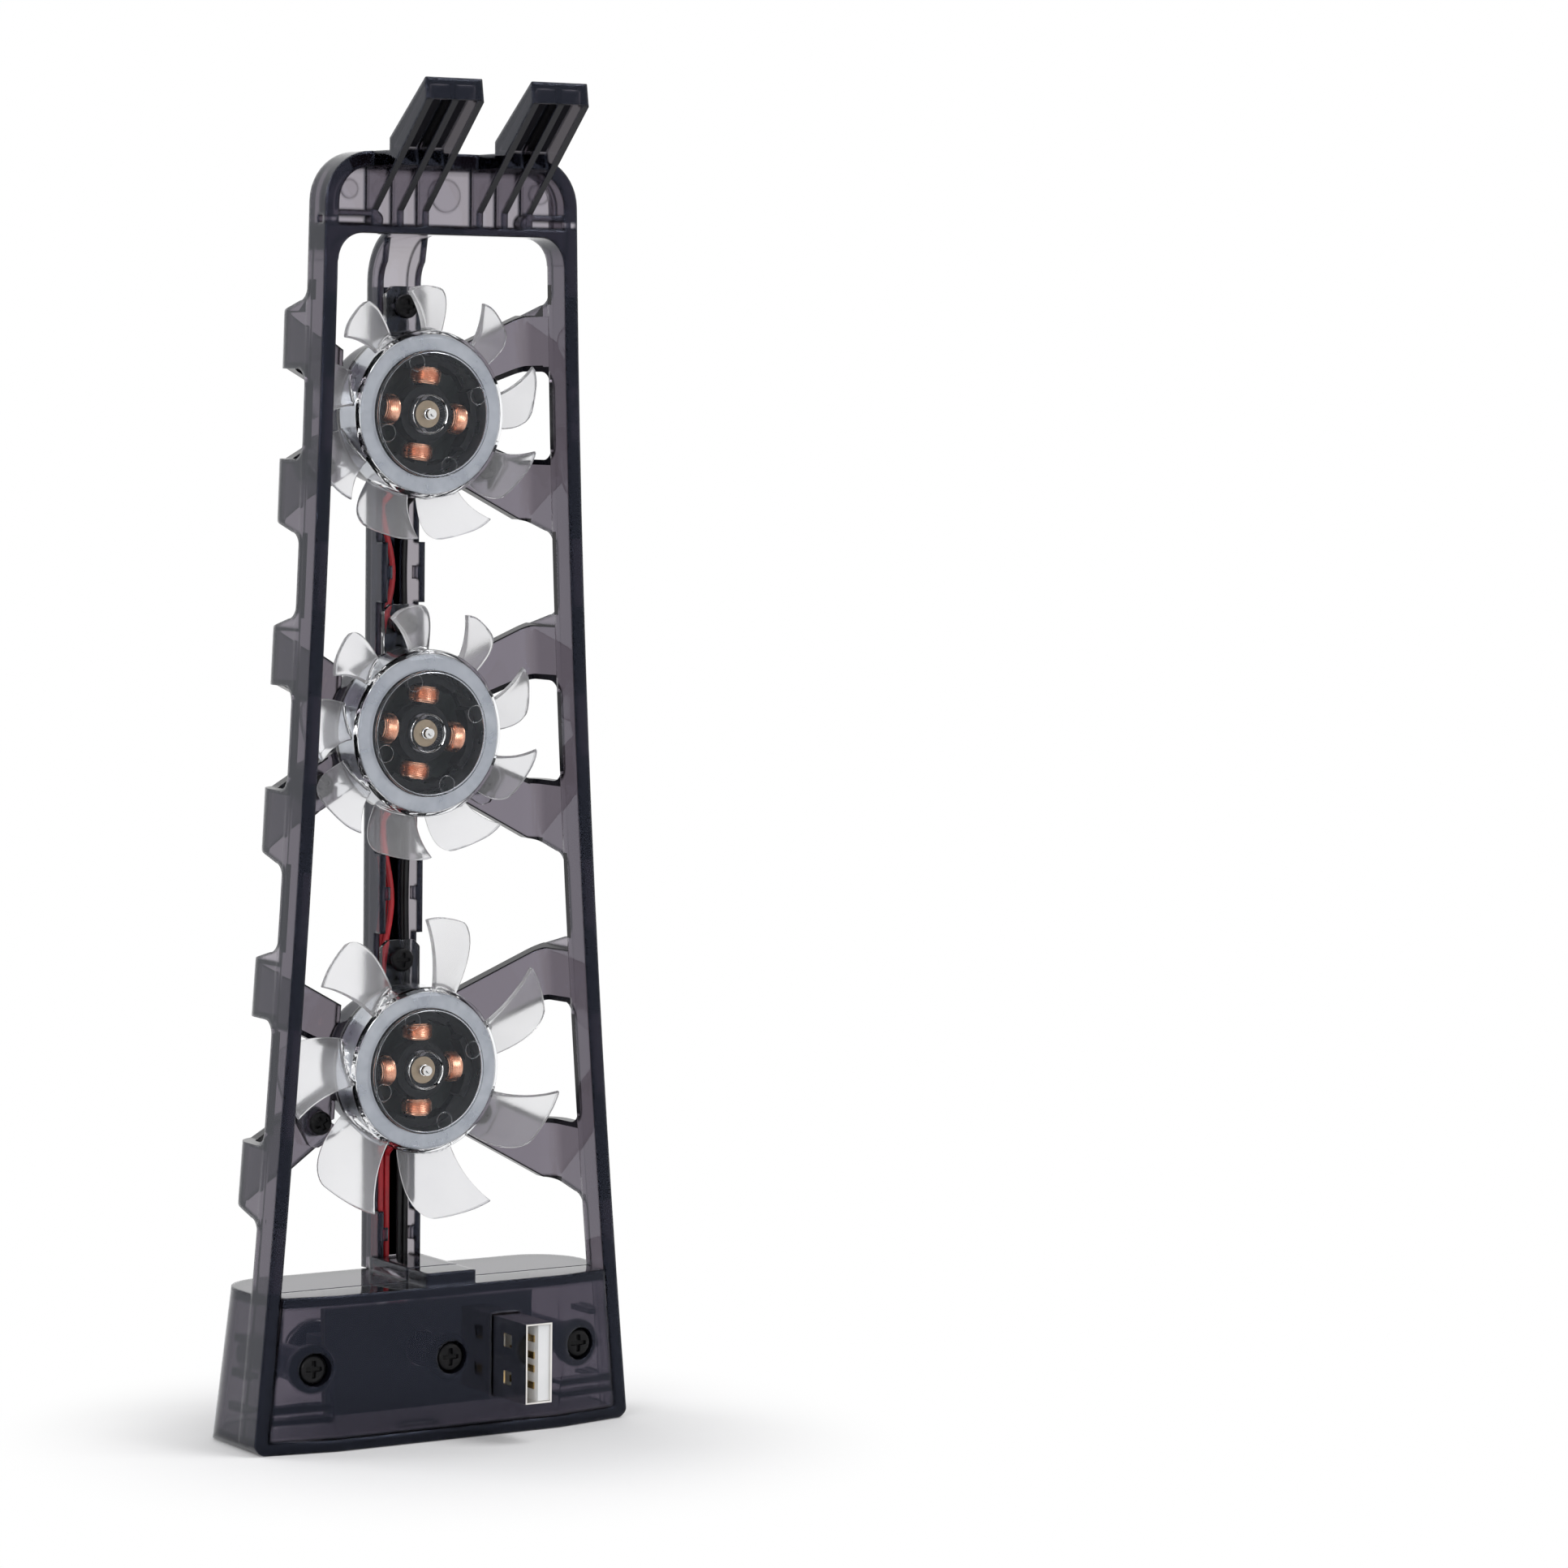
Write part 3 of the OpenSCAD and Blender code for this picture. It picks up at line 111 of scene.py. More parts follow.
def makeStudio():
    world = bpy.data.worlds.new("studioLight")
    scene.world = world
    world.use_nodes = True
    tree = world.node_tree
    tree.nodes.clear()
    soft = addNode(tree, "ShaderNodeBackground", {"Color": (1, 1, 1, 1), "Strength": studio["fill"]})
    shown = addNode(tree, "ShaderNodeBackground", {"Color": (1, 1, 1, 1), "Strength": studio["background"]})
    mix = addNode(tree, "ShaderNodeMixShader")
    out = addNode(tree, "ShaderNodeOutputWorld")
    tree.links.new(seenDirectly(tree), mix.inputs[0])
    tree.links.new(soft.outputs[0], mix.inputs[1])
    tree.links.new(shown.outputs[0], mix.inputs[2])
    tree.links.new(mix.outputs[0], out.inputs[0])
    for i, (place, width, watts) in enumerate(studio["lamps"]):
        aimed = (Vector(place) - Vector(studio["aim"])).to_track_quat("Z", "Y").to_euler()
        bpy.ops.object.light_add(type="AREA", location=place, rotation=aimed)
        lamp = bpy.context.object
        lamp.name = "lamp%d" % i
        lamp.data.size = width
        lamp.data.energy = watts


def makeFloor():
    bpy.ops.mesh.primitive_plane_add(size=studio["floorSize"], location=(0, 0, -studio["floorDrop"]))
    floor = bpy.context.object
    floor.name = "floor"
    material = bpy.data.materials.new("paleFloor")
    material.use_nodes = True
    tree = material.node_tree
    tree.nodes.clear()
    matt = addNode(tree, "ShaderNodeBsdfDiffuse", {"Color": studio["floorColour"]})
    white = addNode(tree, "ShaderNodeEmission", {"Color": (1, 1, 1, 1), "Strength": studio["background"]})
    # Away from the object the floor turns into the white background
    place = addNode(tree, "ShaderNodeTexCoord")
    far = addNode(tree, "ShaderNodeVectorMath", operation="LENGTH")
    fade = addNode(tree, "ShaderNodeMapRange", {"From Min": studio["fadeStart"], "From Max": studio["fadeEnd"]},
                   interpolation_type="SMOOTHSTEP")
    share = addNode(tree, "ShaderNodeMath", operation="MULTIPLY")
    mix = addNode(tree, "ShaderNodeMixShader")
    out = addNode(tree, "ShaderNodeOutputMaterial")
    tree.links.new(place.outputs["Object"], far.inputs[0])
    tree.links.new(far.outputs["Value"], fade.inputs[0])
    tree.links.new(fade.outputs[0], share.inputs[0])
    tree.links.new(seenDirectly(tree), share.inputs[1])
    tree.links.new(share.outputs[0], mix.inputs[0])
    tree.links.new(matt.outputs[0], mix.inputs[1])
    tree.links.new(white.outputs[0], mix.inputs[2])
    tree.links.new(mix.outputs[0], out.inputs[0])
    floor.data.materials.append(material)


makeStudio()
makeFloor()
print("studio set")


def makeSurfaceGroup():
    # Slow drift between two colours and two gloss levels, with a fine grain for bump
    group = bpy.data.node_groups.new("surfaceDrift", "ShaderNodeTree")
    sockets = {
        "INPUT": ("Colour", "Other Colour", "Rough Low", "Rough High", "Patch Scale", "Grain Scale"),
        "OUTPUT": ("Colour", "Roughness", "Grain"),
    }
    for way, names in sockets.items():
        for name in names:
            kind = "NodeSocketColor" if "Colour" in name else "NodeSocketFloat"
            group.interface.new_socket(name=name, in_out=way, socket_type=kind)
    given = addNode(group, "NodeGroupInput")
    out = addNode(group, "NodeGroupOutput")
    place = addNode(group, "ShaderNodeTexCoord")
    patch = addNode(group, "ShaderNodeTexNoise", {"Detail": 3.0, "Roughness": 0.55})
    grain = addNode(group, "ShaderNodeTexNoise", {"Detail": 2.0, "Roughness": 0.6})
    spread = addNode(group, "ShaderNodeMapRange", {"From Min": 0.32, "From Max": 0.68})
    gloss = addNode(group, "ShaderNodeMapRange", {"From Min": 0.3, "From Max": 0.7})
    tint = addNode(group, "ShaderNodeMix", data_type="RGBA")
    links = group.links
    for noise, scale in ((patch, "Patch Scale"), (grain, "Grain Scale")):
        links.new(place.outputs["Object"], noise.inputs["Vector"])
        links.new(given.outputs[scale], noise.inputs["Scale"])
    links.new(patch.outputs[0], spread.inputs[0])
    links.new(patch.outputs[0], gloss.inputs[0])
    links.new(given.outputs["Rough Low"], gloss.inputs["To Min"])
    links.new(given.outputs["Rough High"], gloss.inputs["To Max"])
    links.new(spread.outputs[0], tint.inputs[0])
    links.new(given.outputs["Colour"], tint.inputs[6])
    links.new(given.outputs["Other Colour"], tint.inputs[7])
    links.new(tint.outputs[2], out.inputs["Colour"])
    links.new(gloss.outputs[0], out.inputs["Roughness"])
    links.new(grain.outputs[0], out.inputs["Grain"])
    return group


surfaceDrift = makeSurfaceGroup()

# colour, other colour, roughness range, patch and grain scale, bump depth in mm, then plain shader values
finishes = {
    # The smoke's bluish Specular Tint is painted reflection: it stands in for a cool surrounding seen in the surface
    "smokePlastic": ((0.93, 0.93, 0.95), (0.97, 0.97, 0.98), (0.015, 0.05), 60, 900, 0.003,
                     {"Transmission Weight": 1.0, "IOR": 1.49, "Specular Tint": (0.42, 0.47, 0.68, 1)}),
    "clearPlastic": ((0.92, 0.93, 0.95), (0.96, 0.97, 0.98), (0.02, 0.05), 90, 900, 0.004,
                     {"Transmission Weight": 1.0, "IOR": 1.45, "Specular Tint": (0.34, 0.36, 0.40, 1)}),
    "frostedBlade": ((0.86, 0.86, 0.88), (0.92, 0.92, 0.93), (0.12, 0.26), 70, 1500, 0.02,
                     {"Transmission Weight": 0.86, "IOR": 1.28, "Specular Tint": (0.6, 0.62, 0.66, 1)}),
    "glossStrip": ((0.002, 0.002, 0.003), (0.004, 0.004, 0.006), (0.12, 0.22), 50, 700, 0.004,
                   {"Specular IOR Level": 0.12}),
    "foam": ((0.004, 0.004, 0.005), (0.014, 0.014, 0.017), (0.75, 0.95), 500, 1800, 0.08,
             {"Specular IOR Level": 0.12}),
    "blackSteel": ((0.004, 0.004, 0.005), (0.012, 0.012, 0.013), (0.16, 0.32), 400, 2500, 0.01,
                   {"Specular IOR Level": 0.14}),
    "wellShade": ((0.002, 0.002, 0.004), (0.005, 0.005, 0.008), (0.08, 0.2), 200, 900, 0.004,
                  {"Specular IOR Level": 0.2}),
    # Near-black finish that stands in for the shade along the smoke's rounded edges
    "paintedEdgeShade": ((0.003, 0.003, 0.005), (0.008, 0.008, 0.012), (0.14, 0.3), 60, 900, 0.004,
                  {"Specular IOR Level": 0.25}),
    "iron": ((0.004, 0.004, 0.005), (0.010, 0.010, 0.011), (0.35, 0.55), 400, 1500, 0.02,
             {"Specular IOR Level": 0.2}),
    "copperWire": ((0.96, 0.56, 0.40), (0.78, 0.36, 0.22), (0.22, 0.34), 900, 2500, 0.01, {"Metallic": 1.0}),
    "bronze": ((0.30, 0.23, 0.16), (0.44, 0.35, 0.25), (0.28, 0.45), 600, 2500, 0.01, {"Metallic": 0.8}),
    "magnet": ((0.37, 0.39, 0.43), (0.56, 0.58, 0.62), (0.22, 0.42), 250, 1500, 0.01, {"Metallic": 0.9}),
    "steel": ((0.70, 0.69, 0.68), (0.82, 0.81, 0.80), (0.12, 0.25), 400, 2500, 0.005, {"Metallic": 1.0}),
    "nickel": ((0.76, 0.74, 0.71), (0.86, 0.84, 0.81), (0.08, 0.18), 180, 1600, 0.006, {"Metallic": 1.0}),
    "whitePlastic": ((0.80, 0.81, 0.82), (0.86, 0.86, 0.87), (0.30, 0.45), 200, 1200, 0.01, {}),
    "gold": ((0.55, 0.38, 0.16), (0.72, 0.52, 0.24), (0.16, 0.28), 400, 2500, 0.005, {"Metallic": 1.0}),
    "switchBody": ((0.012, 0.012, 0.014), (0.028, 0.028, 0.03), (0.4, 0.55), 300, 1500, 0.01, {}),
    "buttonGloss": ((0.002, 0.002, 0.003), (0.005, 0.005, 0.007), (0.05, 0.1), 150, 900, 0.004,
                    {"Specular IOR Level": 0.3}),
    "redWire": ((0.42, 0.012, 0.022), (0.55, 0.020, 0.032), (0.28, 0.42), 300, 1500, 0.01, {}),
    "blackWire": ((0.006, 0.006, 0.008), (0.016, 0.016, 0.018), (0.3, 0.45), 300, 1500, 0.01,
                  {"Specular IOR Level": 0.3}),
}
bumpStrength = 0.35
materials = {}


def makeFinish(name):
    colour, other, rough, patch, grain, depth, plain = finishes[name]
    material = bpy.data.materials.new(name)
    material.use_nodes = True
    tree = material.node_tree
    shader = tree.nodes["Principled BSDF"]
    drift = addNode(tree, "ShaderNodeGroup", node_tree=surfaceDrift)
    values = {"Colour": (*colour, 1), "Other Colour": (*other, 1), "Rough Low": rough[0], "Rough High": rough[1],
              "Patch Scale": patch, "Grain Scale": grain}
    for key, value in values.items():
        drift.inputs[key].default_value = value
    bump = addNode(tree, "ShaderNodeBump", {"Strength": bumpStrength, "Distance": depth * mm})
    tree.links.new(drift.outputs["Colour"], shader.inputs["Base Color"])
    tree.links.new(drift.outputs["Roughness"], shader.inputs["Roughness"])
    tree.links.new(drift.outputs["Grain"], bump.inputs["Height"])
    tree.links.new(bump.outputs["Normal"], shader.inputs["Normal"])
    for key, value in plain.items():
        shader.inputs[key].default_value = value
    materials[name] = material


for finishName in finishes:
    makeFinish(finishName)

# Volume tint of the smoked plastic, and painted shade: round edges, thick hooks and hub discs are drawn darker in its
# colour
smokeTintAndPaintedShade = {
    "colour": (0.19, 0.135, 0.205, 1), "density": 1000,  # what a millimetre of wall takes away
    "edge": 0.8, "edgeShade": 0.01,  # mm of rounding, and the painted shade at an edge, as the share of colour left there
    "edgeStart": 0.992, "edgeEnd": 0.88,  # how far the rounded normal agrees with the face's own
    "hookFoot": 186.6, "hookTop": 188.4, "hookShade": 0.3,  # mm, and the painted shade in the thick hooks
    # hub discs behind the fans painted darker
    "hubRadius": 11.1, "hubBack": -14.6, "hubShade": 0.3,
}


def makePaintedSmokeShade():
    # Painted shade multiplied into the smoke's colour: round edges and the thick hooks drawn darker, the hub discs
    # painted darker; and the normal with the edges rounded
    group = bpy.data.node_groups.new("paintedSmokeShade", "ShaderNodeTree")
    group.interface.new_socket(name="Shade", in_out="OUTPUT", socket_type="NodeSocketFloat")
    group.interface.new_socket(name="Normal", in_out="OUTPUT", socket_type="NodeSocketVector")
    links = group.links
    out = addNode(group, "NodeGroupOutput")
    rounded = addNode(group, "ShaderNodeBevel", {"Radius": smokeTintAndPaintedShade["edge"] * mm}, samples=6)
    geometry = addNode(group, "ShaderNodeNewGeometry")
    agree = addNode(group, "ShaderNodeVectorMath", operation="DOT_PRODUCT")
    edge = addNode(group, "ShaderNodeMapRange", {"From Min": smokeTintAndPaintedShade["edgeEnd"], "From Max": smokeTintAndPaintedShade["edgeStart"],
                                                 "To Min": smokeTintAndPaintedShade["edgeShade"], "To Max": 1.0})
    links.new(rounded.outputs[0], agree.inputs[0])
    links.new(geometry.outputs["Normal"], agree.inputs[1])
    links.new(agree.outputs["Value"], edge.inputs[0])
    place = addNode(group, "ShaderNodeTexCoord")
    split = addNode(group, "ShaderNodeSeparateXYZ")
    hook = addNode(group, "ShaderNodeMapRange",
                   {"From Min": smokeTintAndPaintedShade["hookFoot"] * mm, "From Max": smokeTintAndPaintedShade["hookTop"] * mm,
                    "To Min": 1.0, "To Max": smokeTintAndPaintedShade["hookShade"]})
    links.new(place.outputs["Object"], split.inputs[0])
    links.new(split.outputs[2], hook.inputs[0])
    shades = [edge.outputs[0], hook.outputs[0]]
    for height in fanHeights.values():
        flat = addNode(group, "ShaderNodeVectorMath", {1: (1, 0, 1)}, operation="MULTIPLY")
        away = addNode(group, "ShaderNodeVectorMath", {1: (0, 0, height * mm)}, operation="DISTANCE")
        near = addNode(group, "ShaderNodeMath", {1: smokeTintAndPaintedShade["hubRadius"] * mm}, operation="LESS_THAN")
        behind = addNode(group, "ShaderNodeMath", {1: smokeTintAndPaintedShade["hubBack"] * mm}, operation="LESS_THAN")
        both = addNode(group, "ShaderNodeMath", operation="MULTIPLY")
        hub = addNode(group, "ShaderNodeMapRange", {"To Min": 1.0, "To Max": smokeTintAndPaintedShade["hubShade"]})
        links.new(place.outputs["Object"], flat.inputs[0])
        links.new(flat.outputs[0], away.inputs[0])
        links.new(away.outputs["Value"], near.inputs[0])
        links.new(split.outputs[1], behind.inputs[0])
        links.new(near.outputs[0], both.inputs[0])
        links.new(behind.outputs[0], both.inputs[1])
        links.new(both.outputs[0], hub.inputs[0])
        shades.append(hub.outputs[0])
    total = shades[0]
    for shade in shades[1:]:
        times = addNode(group, "ShaderNodeMath", operation="MULTIPLY")
        links.new(total, times.inputs[0])
        links.new(shade, times.inputs[1])
        total = times.outputs[0]
    links.new(total, out.inputs["Shade"])
    links.new(rounded.outputs[0], out.inputs["Normal"])
    return group


def tintSmokeAndPaintShade():
    tree = materials["smokePlastic"].node_tree
    tint = addNode(tree, "ShaderNodeVolumeAbsorption",
                   {"Color": smokeTintAndPaintedShade["colour"], "Density": smokeTintAndPaintedShade["density"]})
    tree.links.new(tint.outputs[0], tree.nodes["Material Output"].inputs["Volume"])
    depth = addNode(tree, "ShaderNodeGroup", node_tree=makePaintedSmokeShade())
    shader = tree.nodes["Principled BSDF"]
    # The smoke's colour is scaled down by the painted shade
    colour = addNode(tree, "ShaderNodeVectorMath", operation="SCALE")
    tree.links.new(shader.inputs["Base Color"].links[0].from_socket, colour.inputs[0])
    tree.links.new(depth.outputs["Shade"], colour.inputs["Scale"])
    tree.links.new(colour.outputs[0], shader.inputs["Base Color"])
    tree.links.new(depth.outputs["Normal"], shader.inputs["Normal"].links[0].from_node.inputs["Normal"])


tintSmokeAndPaintShade()

boardLook = {"mask": (0.006, 0.012, 0.008, 1), "trace": (0.009, 0.018, 0.011, 1), "edge": (0.05, 0.045, 0.02, 1),
             "roughness": 0.4, "bump": 0.4, "raise": 0.04}  # raise of the traces in mm


def makeBoard():
    # Dark mask with traces on the faces, bare laminate on the edges
    material = bpy.data.materials.new("circuitBoard")
    material.use_nodes = True
    tree = material.node_tree
    shader = tree.nodes["Principled BSDF"]
    place = addNode(tree, "ShaderNodeTexCoord")
    lines = addNode(tree, "ShaderNodeTexWave", {"Scale": 260.0, "Distortion": 6.0, "Detail": 1.0},
                    wave_type="BANDS", bands_direction="DIAGONAL")
    cut = addNode(tree, "ShaderNodeMapRange", {"From Min": 0.45, "From Max": 0.55})
    face = addNode(tree, "ShaderNodeMix", data_type="RGBA")
    face.inputs[6].default_value, face.inputs[7].default_value = boardLook["mask"], boardLook["trace"]
    geometry = addNode(tree, "ShaderNodeNewGeometry")
    split = addNode(tree, "ShaderNodeSeparateXYZ")
    flat = addNode(tree, "ShaderNodeMath", operation="ABSOLUTE")
    onEdge = addNode(tree, "ShaderNodeMath", {1: 0.5}, operation="LESS_THAN")
    both = addNode(tree, "ShaderNodeMix", data_type="RGBA")
    both.inputs[7].default_value = boardLook["edge"]
    bump = addNode(tree, "ShaderNodeBump", {"Strength": boardLook["bump"], "Distance": boardLook["raise"] * mm})
    links = tree.links
    links.new(place.outputs["Object"], lines.inputs["Vector"])
    links.new(lines.outputs[1], cut.inputs[0])
    links.new(cut.outputs[0], face.inputs[0])
    links.new(geometry.outputs["True Normal"], split.inputs[0])
    links.new(split.outputs[1], flat.inputs[0])
    links.new(flat.outputs[0], onEdge.inputs[0])
    links.new(onEdge.outputs[0], both.inputs[0])
    links.new(face.outputs[2], both.inputs[6])
    links.new(both.outputs[2], shader.inputs["Base Color"])
    links.new(cut.outputs[0], bump.inputs["Height"])
    links.new(bump.outputs["Normal"], shader.inputs["Normal"])
    shader.inputs["Roughness"].default_value = boardLook["roughness"]
    materials["circuitBoard"] = material


makeBoard()
print("finishes made:", len(materials))

sharpAngle = 35  # degrees between two faces, from which an edge is sharp
edgeSegments = 2
mergeGap = 0.002  # mm
shading = {"smooth": 32, "flatWidth": 3, "kink": 0.9994, "weight": 80}  # degrees, mm, cosine, strength


def activate(piece):
    bpy.ops.object.select_all(action="DESELECT")
    piece.select_set(True)
    bpy.context.view_layer.objects.active = piece


def startEdit(piece):
    activate(piece)
    bpy.ops.object.mode_set(mode="EDIT")
    bpy.ops.mesh.select_all(action="SELECT")


def endEdit():
    bpy.ops.object.mode_set(mode="OBJECT")


def applyModifier(piece, kind, **settings):
    activate(piece)
    modifier = piece.modifiers.new(kind.lower(), kind)
    for key, value in settings.items():
        setattr(modifier, key, value)
    bpy.ops.object.modifier_apply(modifier=modifier.name)


def softenEdges(piece, width, angle=sharpAngle):
    applyModifier(piece, "BEVEL", width=width * mm, segments=edgeSegments, limit_method="ANGLE",
                  angle_limit=math.radians(angle), use_clamp_overlap=False)
    shadeClean(piece)


def shadeClean(piece):
    # Curved strips are smooth, flat faces stay flat, and a kink between two flat faces stays sharp
    activate(piece)
    bpy.ops.object.shade_smooth_by_angle(angle=math.radians(shading["smooth"]))
    mesh = piece.data
    wide = []
    sides = {}
    for face in mesh.polygons:
        corners = [mesh.vertices[i].co for i in face.vertices]
        longest = max((corners[i] - corners[i - 1]).length for i in range(len(corners)))
        wide.append(face.area > shading["flatWidth"] * mm * longest)
        for key in face.edge_keys:
            sides.setdefault(key, []).append(face)
    for edge in mesh.edges:
        pair = sides.get(edge.key, [])
        if len(pair) == 2 and all(wide[face.index] for face in pair):
            if pair[0].normal.dot(pair[1].normal) < shading["kink"]:
                edge.use_edge_sharp = True
    applyModifier(piece, "WEIGHTED_NORMAL", weight=shading["weight"], keep_sharp=True)


def copyNode(node, name):
    # A copy of a CAD node with its loose triangles joined up
    piece = bpy.data.objects.new(name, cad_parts[node].data.copy())
    scene.collection.objects.link(piece)
    startEdit(piece)
    bpy.ops.mesh.customdata_custom_splitnormals_clear()
    bpy.ops.mesh.remove_doubles(threshold=mergeGap * mm)
    endEdit()
    return piece


def unite(piece, *others):
    for other in others:
        applyModifier(piece, "BOOLEAN", operation="UNION", solver="EXACT", object=other)
        bpy.data.objects.remove(other)


def dress(piece, body, slot, finish, *nodes):
    if finish:
        piece.data.materials.clear()
        piece.data.materials.append(materials[finish])
    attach(piece, body)
    if nodes:
        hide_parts(*nodes)


def turn(name, profile, z=0, segments=64):
    # Turned piece along Y: each (radius, y) step of the profile is extruded and scaled from the last, in mm
    r, y = profile[0]
    bpy.ops.object.select_all(action="DESELECT")
    bpy.ops.mesh.primitive_circle_add(vertices=segments, radius=r * mm, fill_type="NGON",
                                      location=(0, y * mm, z * mm), rotation=(math.pi / 2, 0, 0))
    piece = bpy.context.object
    piece.name = name
    bpy.ops.object.transform_apply(location=True, rotation=True, scale=True)
    startEdit(piece)
    for nextR, nextY in profile[1:]:
        bpy.ops.mesh.extrude_region_move(TRANSFORM_OT_translate={"value": (0, (nextY - y) * mm, 0)})
        k = nextR / r
        bpy.ops.transform.resize(value=(k, 1, k), center_override=(0, nextY * mm, z * mm))
        r, y = nextR, nextY
    bpy.ops.mesh.select_all(action="SELECT")
    bpy.ops.mesh.normals_make_consistent(inside=False)
    endEdit()
    return piece


def joinPieces(pieces, name):
    bpy.ops.object.select_all(action="DESELECT")
    for piece in pieces:
        piece.select_set(True)
    bpy.context.view_layer.objects.active = pieces[0]
    bpy.ops.object.join()
    pieces[0].name = name
    return pieces[0]


mouldingParts = ("frame_rim", "base_shell", "arms_top", "arms_middle", "arms_bottom")
moulding = {"edge": 0.25, "edgeSteps": 3, "frontY": -0.01, "seatY": -5.3, "seatGap": 0.02, "seatFacing": 0.999,
            "sink": 0.5, "hairGap": 0.003, "flatAngle": 0.5}  # mm, and degrees
footRound = {"radius": 2.2, "across": 29.55, "front": 5, "back": -25, "over": 1.5, "dip": 0.06,
             "sides": 40, "spare": 2}  # the rod's sides, and mm that it is longer than the block


def sinkSeat(piece):
    # The faces that stand on the rim's outer edge are drawn out into it, so that the two become one
    startEdit(piece)
    bpy.ops.mesh.select_mode(type="FACE")
    bpy.ops.mesh.select_all(action="DESELECT")
    endEdit()
    seat = moulding["seatY"] * mm
    for face in piece.data.polygons:
        face.select = face.normal.y > moulding["seatFacing"] and abs(face.center.y - seat) < moulding["seatGap"] * mm
    bpy.ops.object.mode_set(mode="EDIT")
    bpy.ops.mesh.extrude_region_move(TRANSFORM_OT_translate={"value": (0, moulding["sink"] * mm, 0)})
    endEdit()


def roundEdges(piece, width, segments, wanted, along=lambda a, b: True):
    # Rounds only the sharp edges whose two ends both pass the test, and which run as asked
    startEdit(piece)
    bpy.ops.mesh.select_all(action="DESELECT")
    bpy.ops.mesh.select_mode(type="EDGE")
    bpy.ops.mesh.edges_select_sharp(sharpness=math.radians(sharpAngle))
    endEdit()
    points = [v.co / mm for v in piece.data.vertices]
    for edge in piece.data.edges:
        first, last = (points[i] for i in edge.vertices)
        edge.select = edge.select and wanted(first) and wanted(last) and along(first, last)
    bpy.ops.object.mode_set(mode="EDIT")
    bpy.ops.mesh.bevel(offset=width * mm, segments=segments, affect="EDGES", clamp_overlap=False)
    endEdit()


# Where the smoke moulding is painted near-black as shade, along edges that bend the light away
paintedShadeFaces = {
    "armFoot": 30, "armBack": -5.6, "armInner": 4, "post": (13.77, -7.95), "postRadius": 3.3, "hubRadius": 11.3,
    "ribFoot": 176, "ribTop": 200, "ribBack": -3,
    "border": 0.75, "outerBorder": 0.2, "flare": 1.6, "rimBack": -4.2, "rimTop": 172, "rimWall": 2.2, "rimSlack": 0.4,
    "edgeSlack": 0.3, "edgeOver": 0.2, "armWide": 9,  # mm past an edge's ends and outside it, and across an arm
    "slant": 0.3, "rimFacing": 0.9, "ribAcross": 0.05, "ribLean": 0.25,  # shares of a face's normal
}
armLines = {  # root and bend of the arms as seen from the front, in mm
    "hub": 10.9, "inside": 5, "bend": 2.5, "past": 2, "foot": 31.85, "narrowing": 10.9,
    "bow": 2.0, "tall": 190,
    "arms": ((1, 6.6, 0.48, 7.2, 8.4), (-1, 6.8, 0.53, 7.1, 9.1)),  # up or down, start, slope, heights
}


def wallAt(z):
    up = z / armLines["tall"]
    return armLines["foot"] - armLines["narrowing"] * up - 4 * armLines["bow"] * up * (1 - up)


def armEdges():
    # Start, end and inward direction of each edge, as points in X and Z, and the width of its painted shade border
    edges = []
    for height in fanHeights.values():
        bendX = wallAt(height) - armLines["bend"]
        startX = armLines["hub"] - armLines["inside"]
        for sign, start, slope, rootTall, bendTall in armLines["arms"]:
            ends = (startX, start - armLines["inside"] * slope), (bendX, start + slope * (bendX - armLines["hub"]))
            for edge in (-1, 1):
                a, b = [Vector((x, 0, height + sign * (z + edge * tall / 2)))
                        for (x, z), tall in zip(ends, (rootTall, bendTall))]
                c = Vector((wallAt(height) + armLines["past"], 0, b.z))
                for side, near, far in ((-1, a, b), (1, a, b), (-1, b, c), (1, b, c)):
                    first, last = Vector((near.x * side, 0, near.z)), Vector((far.x * side, 0, far.z))
                    along = (last - first).normalized()
                    inward = Vector((-along.z, 0, along.x))
                    if inward.z * sign * edge > 0:
                        inward = -inward
                    edges.append((first, last, inward, paintedShadeFaces["border" if edge < 0 else "outerBorder"]))
    return edges


armBorders = armEdges()


def onArm(place):
    d = paintedShadeFaces
    if place.z < d["armFoot"] or place.y > d["armBack"] or abs(place.x) < d["armInner"]:
        return False
    for height in fanHeights.values():
        if math.hypot(place.x, place.z - height) < d["hubRadius"]:
            return False
        if math.hypot(abs(place.x) - d["post"][0], place.z - height - d["post"][1]) < d["postRadius"]:
            return False
    return True


def isBroad(place, facing):
    # Console side of an arm, and the side of its tab that looks at the fan
    slant = paintedShadeFaces["slant"]
    inner = facing.y > slant or facing.x * place.x < 0 and facing.y > -slant
    return abs(facing.z) < slant and inner and onArm(place)


def besideEdge(place, edge, reach):
    d = paintedShadeFaces
    first, last, inward = edge[:3]
    low, high = sorted((first.x, last.x))
    if not low - d["edgeSlack"] < place.x < high + d["edgeSlack"]:
        return False
    return -d["edgeOver"] < (place - first).dot(inward) < reach


def inRim(place, facing):
    # Inner side of the rails
    d = paintedShadeFaces
    if not d["armFoot"] < place.z < d["rimTop"] or place.y < d["armBack"] or abs(facing.x) < d["rimFacing"]:
        return False
    return abs(abs(place.x) - wallAt(place.z) + d["rimWall"]) <= d["rimSlack"] and facing.x * place.x <= 0


def armStands():
    # Middle height of each arm on the rail, and how far it reaches up and down from there
    stands = []
    for height in fanHeights.values():
        reach = wallAt(height) - armLines["bend"] - armLines["hub"]
        for sign, start, slope, _, bendTall in armLines["arms"]:
            stands.append((height + sign * (start + slope * reach), bendTall / 2 + paintedShadeFaces["flare"]))
    return stands


